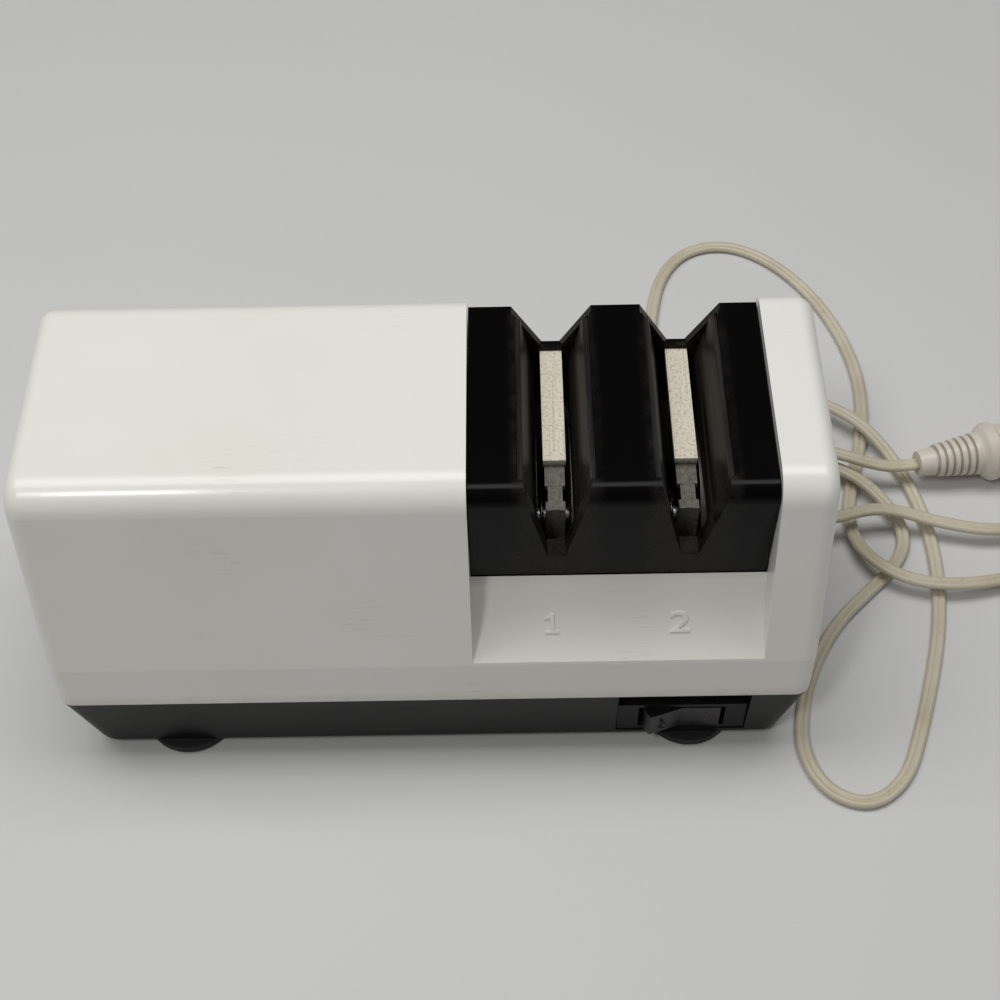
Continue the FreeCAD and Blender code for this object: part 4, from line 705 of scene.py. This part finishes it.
# %% Grit, ferrite, fan, coil
coarse_grit, tree, shader, place = start_material("Diamond grit in nickel, coarse", "#8E8A80", 0.5,
                                                  metallic=0.8)
grit = add(tree, "ShaderNodeTexVoronoi", {"Scale": per_mm(0.5)}, {"Vector": place})
grit_tone = add(tree, "ShaderNodeMix",
                {"data_type": "RGBA", 6: srgb("#5D5A53"), 7: srgb("#B5B1A6")},
                {0: grit.outputs["Distance"]})
tree.links.new(grit_tone.outputs[2], shader.inputs["Base Color"])
bump = add(tree, "ShaderNodeBump", {"Strength": 0.6, "Distance": 0.0002},
           {"Height": grit.outputs["Distance"]})
tree.links.new(bump.outputs["Normal"], shader.inputs["Normal"])
dress(coarse_grit, "coarse_disk_left", "coarse_disk_right")

fine_grit, tree, shader, place = start_material("Diamond grit in nickel, fine", "#A29E94", 0.42,
                                                metallic=0.8)
grit = add(tree, "ShaderNodeTexVoronoi", {"Scale": per_mm(0.3)}, {"Vector": place})
grit_tone = add(tree, "ShaderNodeMix",
                {"data_type": "RGBA", 6: srgb("#77746D"), 7: srgb("#BEBAB0")},
                {0: grit.outputs["Distance"]})
tree.links.new(grit_tone.outputs[2], shader.inputs["Base Color"])
bump = add(tree, "ShaderNodeBump", {"Strength": 0.4, "Distance": 0.0001},
           {"Height": grit.outputs["Distance"]})
tree.links.new(bump.outputs["Normal"], shader.inputs["Normal"])
dress(fine_grit, "fine_disk_left", "fine_disk_right")

ferrite, tree, shader, place = start_material("Ferrite, pressed", "#2A2A2C", 0.55)
dustcoat = add(tree, "ShaderNodeTexNoise", {"Scale": per_mm(1.0), "Detail": 4.0}, {"Vector": place})
ferrite_tone = add(tree, "ShaderNodeMix",
                   {"data_type": "RGBA", 6: srgb("#232325"), 7: srgb("#4A4542")},
                   {0: dustcoat.outputs["Fac"]})
tree.links.new(ferrite_tone.outputs[2], shader.inputs["Base Color"])
dress(ferrite, "guide_magnets", "swarf_magnet")

fan_nylon, tree, shader, place = start_material("Nylon, moulded fan", "#1E1E20", 0.5, ior=1.53)
fluff = add(tree, "ShaderNodeTexNoise", {"Scale": per_mm(2.5), "Detail": 4.0}, {"Vector": place})
fan_tone = add(tree, "ShaderNodeMix", {"data_type": "RGBA", 6: srgb("#1A1A1B"), 7: srgb("#35322F")},
               {0: fluff.outputs["Fac"]})
tree.links.new(fan_tone.outputs[2], shader.inputs["Base Color"])
dress(fan_nylon, "cooling_fan")

coil_tape, tree, shader, place = start_material("Polyester tape over windings", "#C9A532", 0.35,
                                                ior=1.6)
wraps = add(tree, "ShaderNodeTexWave",
            {"wave_type": "BANDS", "bands_direction": "Y", "Scale": per_mm(12) / math.tau,
             "Distortion": 1.2},
            {"Vector": place})
tape_tone = add(tree, "ShaderNodeMix",
                {"data_type": "RGBA", 6: srgb("#B8922A"), 7: srgb("#D6B446")},
                {0: wraps.outputs["Fac"]})
tree.links.new(tape_tone.outputs[2], shader.inputs["Base Color"])
dress(coil_tape, "motor_coil")
print("inner pieces dressed")

# %% [markdown]
# ## Numbers on the ledge
#
# A raised 1 and 2 on the white ledge name the two stages. They are moulded with the cover and
# only half a millimetre high, so they are told by their shading alone. The 2 starts as text that
# is made a mesh. The plain 1 of the built-in face has no foot, so that number is a flat outline
# that is extruded and bevelled. Every corner is then carried onto the hollow of the ledge, so
# that the numbers follow the curve instead of cutting through it.

# %% Stage numbers
LEDGE_LOW = Vector((0.0, -43.9, 48.5)) * MM
LEDGE_HIGH = Vector((0.0, -28.9, 67.4)) * MM
LEDGE_SAG = 2.2 * MM
NUMBER_TALL = 6.4 * MM
NUMBER_PROUD = 0.5 * MM
NUMBER_EDGE = 0.12 * MM
NUMBER_ONE_X = 0.0358
NUMBER_TWO_X = 0.0735
ONE_STRETCH = 1.2
TWO_STRETCH = 1.45
# A letter of the built-in face is this share of its size tall.
LETTER_SHARE = 0.7
chord = LEDGE_HIGH - LEDGE_LOW
half_chord = chord.length / 2
rise = chord.normalized()
inward = Vector((0.0, rise.z, -rise.y))
ledge_radius = (half_chord ** 2 + LEDGE_SAG ** 2) / (2 * LEDGE_SAG)
ledge_centre = (LEDGE_LOW + LEDGE_HIGH) / 2 + inward * (LEDGE_SAG - ledge_radius)


def onto_ledge(x, up, out):
    """A point of the ledge: along X, up the slope from its middle, and out of the surface."""
    angle = up / ledge_radius
    radius = ledge_radius - out
    spoke = inward * math.cos(angle) + rise * math.sin(angle)
    return ledge_centre + Vector((x, 0, 0)) + spoke * radius


NUMBER_ONE = [
    (-0.26, -0.5), (0.30, -0.5), (0.30, -0.36), (0.10, -0.36), (0.10, 0.5), (-0.03, 0.5),
    (-0.10, 0.38), (-0.28, 0.30), (-0.28, 0.18), (-0.06, 0.24), (-0.06, -0.36), (-0.26, -0.36),
]


def raise_flat(number):
    """Give a flat outline its thickness and a small bevel along its upper edge."""
    only(number)
    bpy.ops.object.mode_set(mode="EDIT")
    bpy.ops.mesh.select_all(action="SELECT")
    bpy.ops.mesh.extrude_region_move(TRANSFORM_OT_translate={"value": (0.0, 0.0, NUMBER_PROUD * 2)})
    bpy.ops.mesh.select_all(action="SELECT")
    bpy.ops.transform.translate(value=(0.0, 0.0, -NUMBER_PROUD))
    bpy.ops.object.mode_set(mode="OBJECT")
    apply_modifier(number, "BEVEL", width=NUMBER_EDGE, segments=2, limit_method="ANGLE",
                   angle_limit=math.radians(50))


def carry_to_ledge(number, x, up, stretch):
    """Widen a flat number, bend it onto the ledge at this place and finish it."""
    heights = [v.co.y for v in number.data.vertices]
    middle = (min(heights) + max(heights)) / 2
    for v in number.data.vertices:
        v.co = onto_ledge(x + v.co.x * stretch, v.co.y - middle + up, v.co.z)
    outward(number)
    only(number)
    bpy.ops.object.shade_smooth_by_angle(angle=math.radians(35))
    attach(number, "housing")
    dress(cover_abs, number)


def number_one(x, up):
    mesh = bpy.data.meshes.new("stage_number_1")
    mesh.from_pydata([(u * NUMBER_TALL, v * NUMBER_TALL, 0.0) for u, v in NUMBER_ONE], [],
                     [tuple(range(len(NUMBER_ONE)))])
    number = bpy.data.objects.new("stage_number_1", mesh)
    bpy.context.scene.collection.objects.link(number)
    raise_flat(number)
    carry_to_ledge(number, x, up, ONE_STRETCH)


def number_two(x, up):
    clear_selection()
    bpy.ops.object.text_add(location=(0.0, 0.0, 0.0))
    words = bpy.context.object
    words.data.body = "2"
    words.data.align_x = "CENTER"
    words.data.align_y = "CENTER"
    words.data.size = NUMBER_TALL / LETTER_SHARE
    words.data.extrude = NUMBER_PROUD
    words.data.bevel_depth = 0.08 * MM
    words.data.bevel_resolution = 1
    bpy.ops.object.convert(target="MESH")
    carry_to_ledge(settle(bpy.context.object, "stage_number_2"), x, up, TWO_STRETCH)


# Middle of the numbers on the slope, measured up from the middle of the ledge.
number_up = (Vector((0.0, -34.95, 56.2)) * MM - (LEDGE_LOW + LEDGE_HIGH) / 2).dot(rise)
number_one(NUMBER_ONE_X, number_up)
number_two(NUMBER_TWO_X, number_up)
print("numbers sit %.1f mm up the ledge" % (number_up / MM))

# %% [markdown]
# ## Marks on the rocker
#
# The usual line and ring for on and off are moulded on the rocker, with a trace of faded red
# paint left on the line. The line is a bevelled bar and the ring a thin torus, each a few tenths
# of a millimetre proud of the face. At rest the ring's half of the rocker leans out by 18 degrees,
# so the ring is turned by as much. Both ride with the rocker.

# %% Rocker marks
ROCKER_X = 76.4 * MM
ROCKER_Z = 13.3 * MM
ROCKER_FACE = -43.5 * MM
ROCKER_LEAN = math.radians(18)
ON_ALONG = 7.6 * MM
OFF_ALONG = -7.0 * MM
MARK_DROP = 0.6 * MM
faded_red, tree, shader, place = start_material("Paint, faded red", "#7A4440", 0.6)
worn = add(tree, "ShaderNodeTexNoise", {"Scale": per_mm(0.8), "Detail": 3.0}, {"Vector": place})
red_tone = add(tree, "ShaderNodeMix", {"data_type": "RGBA", 6: srgb("#2A1B1A"), 7: srgb("#6A3C38")},
               {0: worn.outputs["Fac"]})
tree.links.new(red_tone.outputs[2], shader.inputs["Base Color"])

clear_selection()
on_middle = (ROCKER_X + ON_ALONG, ROCKER_FACE - 0.02 * MM, ROCKER_Z - MARK_DROP)
bpy.ops.mesh.primitive_cube_add(size=1.0, location=on_middle)
on_mark = bpy.context.object
on_mark.scale = (0.8 * MM, 0.3 * MM, 5.2 * MM)
on_mark = settle(on_mark, "rocker_mark_on")
bpy.ops.object.mode_set(mode="EDIT")
bpy.ops.mesh.select_all(action="SELECT")
bpy.ops.mesh.bevel(offset=0.1 * MM, segments=2)
bpy.ops.object.mode_set(mode="OBJECT")

clear_selection()
off_face = ROCKER_FACE + OFF_ALONG * math.tan(ROCKER_LEAN)
off_middle = (ROCKER_X + OFF_ALONG, off_face, ROCKER_Z - MARK_DROP)
bpy.ops.mesh.primitive_torus_add(major_radius=2.1 * MM, minor_radius=0.3 * MM, major_segments=40,
                                 minor_segments=10, location=off_middle)
off_mark = bpy.context.object
off_mark.rotation_euler = (math.radians(90), 0.0, -ROCKER_LEAN)
off_mark = settle(off_mark, "rocker_mark_off")
bpy.ops.object.shade_smooth()
for mark, finish in ((on_mark, faded_red), (off_mark, rocker_nylon)):
    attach(mark, "rocker")
    dress(finish, mark)
print("rocker marks made")

# %% [markdown]
# ## Springs between the disks
#
# Between the two disks of a stage a small compression spring pushes them apart. In the real
# machine each half of it shortens with its own disk. Here the spring is made in two halves that
# meet at the stage's middle, and both ride with the shaft. A circle of wire is swept by a screw
# modifier, which gives a true helix.

# %% Disk springs
SPRING_HALF = 4.8 * MM
SPRING_MIDDLE_RADIUS = 6.5 * MM
WIRE = 0.5 * MM
SHAFT_Y = 6.0 * MM
SHAFT_Z = 52.0 * MM
TURNS = 2.0


def half_spring(name, middle, side, node):
    """One half of a stage's spring, from the middle of the stage to one of its disks."""
    clear_selection()
    bpy.ops.mesh.primitive_circle_add(vertices=10, radius=WIRE, fill_type="NOTHING",
                                      location=(0.0, 0.0, 0.0),
                                      rotation=(math.radians(90), 0.0, 0.0))
    coil = settle(bpy.context.object, name)
    for v in coil.data.vertices:
        v.co.x += SPRING_MIDDLE_RADIUS
    climb = SPRING_HALF - WIRE * 1.3 - WIRE
    apply_modifier(coil, "SCREW", axis="Z", angle=math.tau * TURNS, screw_offset=climb,
                   steps=72, render_steps=72, use_merge_vertices=False)
    only(coil)
    bpy.ops.object.mode_set(mode="EDIT")
    bpy.ops.mesh.select_all(action="SELECT")
    bpy.ops.mesh.region_to_loop()
    bpy.ops.mesh.fill_holes(sides=0)
    bpy.ops.object.mode_set(mode="OBJECT")
    for v in coil.data.vertices:
        x, y, z = v.co
        v.co = Vector((middle + side * (z + WIRE * 0.5), SHAFT_Y + x, SHAFT_Z + side * y))
    outward(coil)
    only(coil)
    bpy.ops.object.shade_smooth()
    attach(coil, "shaft")
    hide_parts(node)
    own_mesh(coil)
    return coil


spring_wire, tree, shader, place = start_material("Spring steel, drawn wire", "#8D8F92", 0.28,
                                                  metallic=1.0)
oil = add(tree, "ShaderNodeTexNoise", {"Scale": per_mm(2.0), "Detail": 3.0}, {"Vector": place})
oiled = add(tree, "ShaderNodeMapRange", {"To Min": 0.18, "To Max": 0.4},
            {"Value": oil.outputs["Fac"]})
tree.links.new(oiled.outputs[0], shader.inputs["Roughness"])
for number, kind, middle in zip("12", ("coarse", "fine"), STAGE_MIDDLES):
    for side, word in ((-1, "left"), (1, "right")):
        name = "spring_%s_%s" % (number, word)
        spring = half_spring(name, middle, side, "disk_spring_" + number)
        dress(spring_wire, spring)
print("springs made")
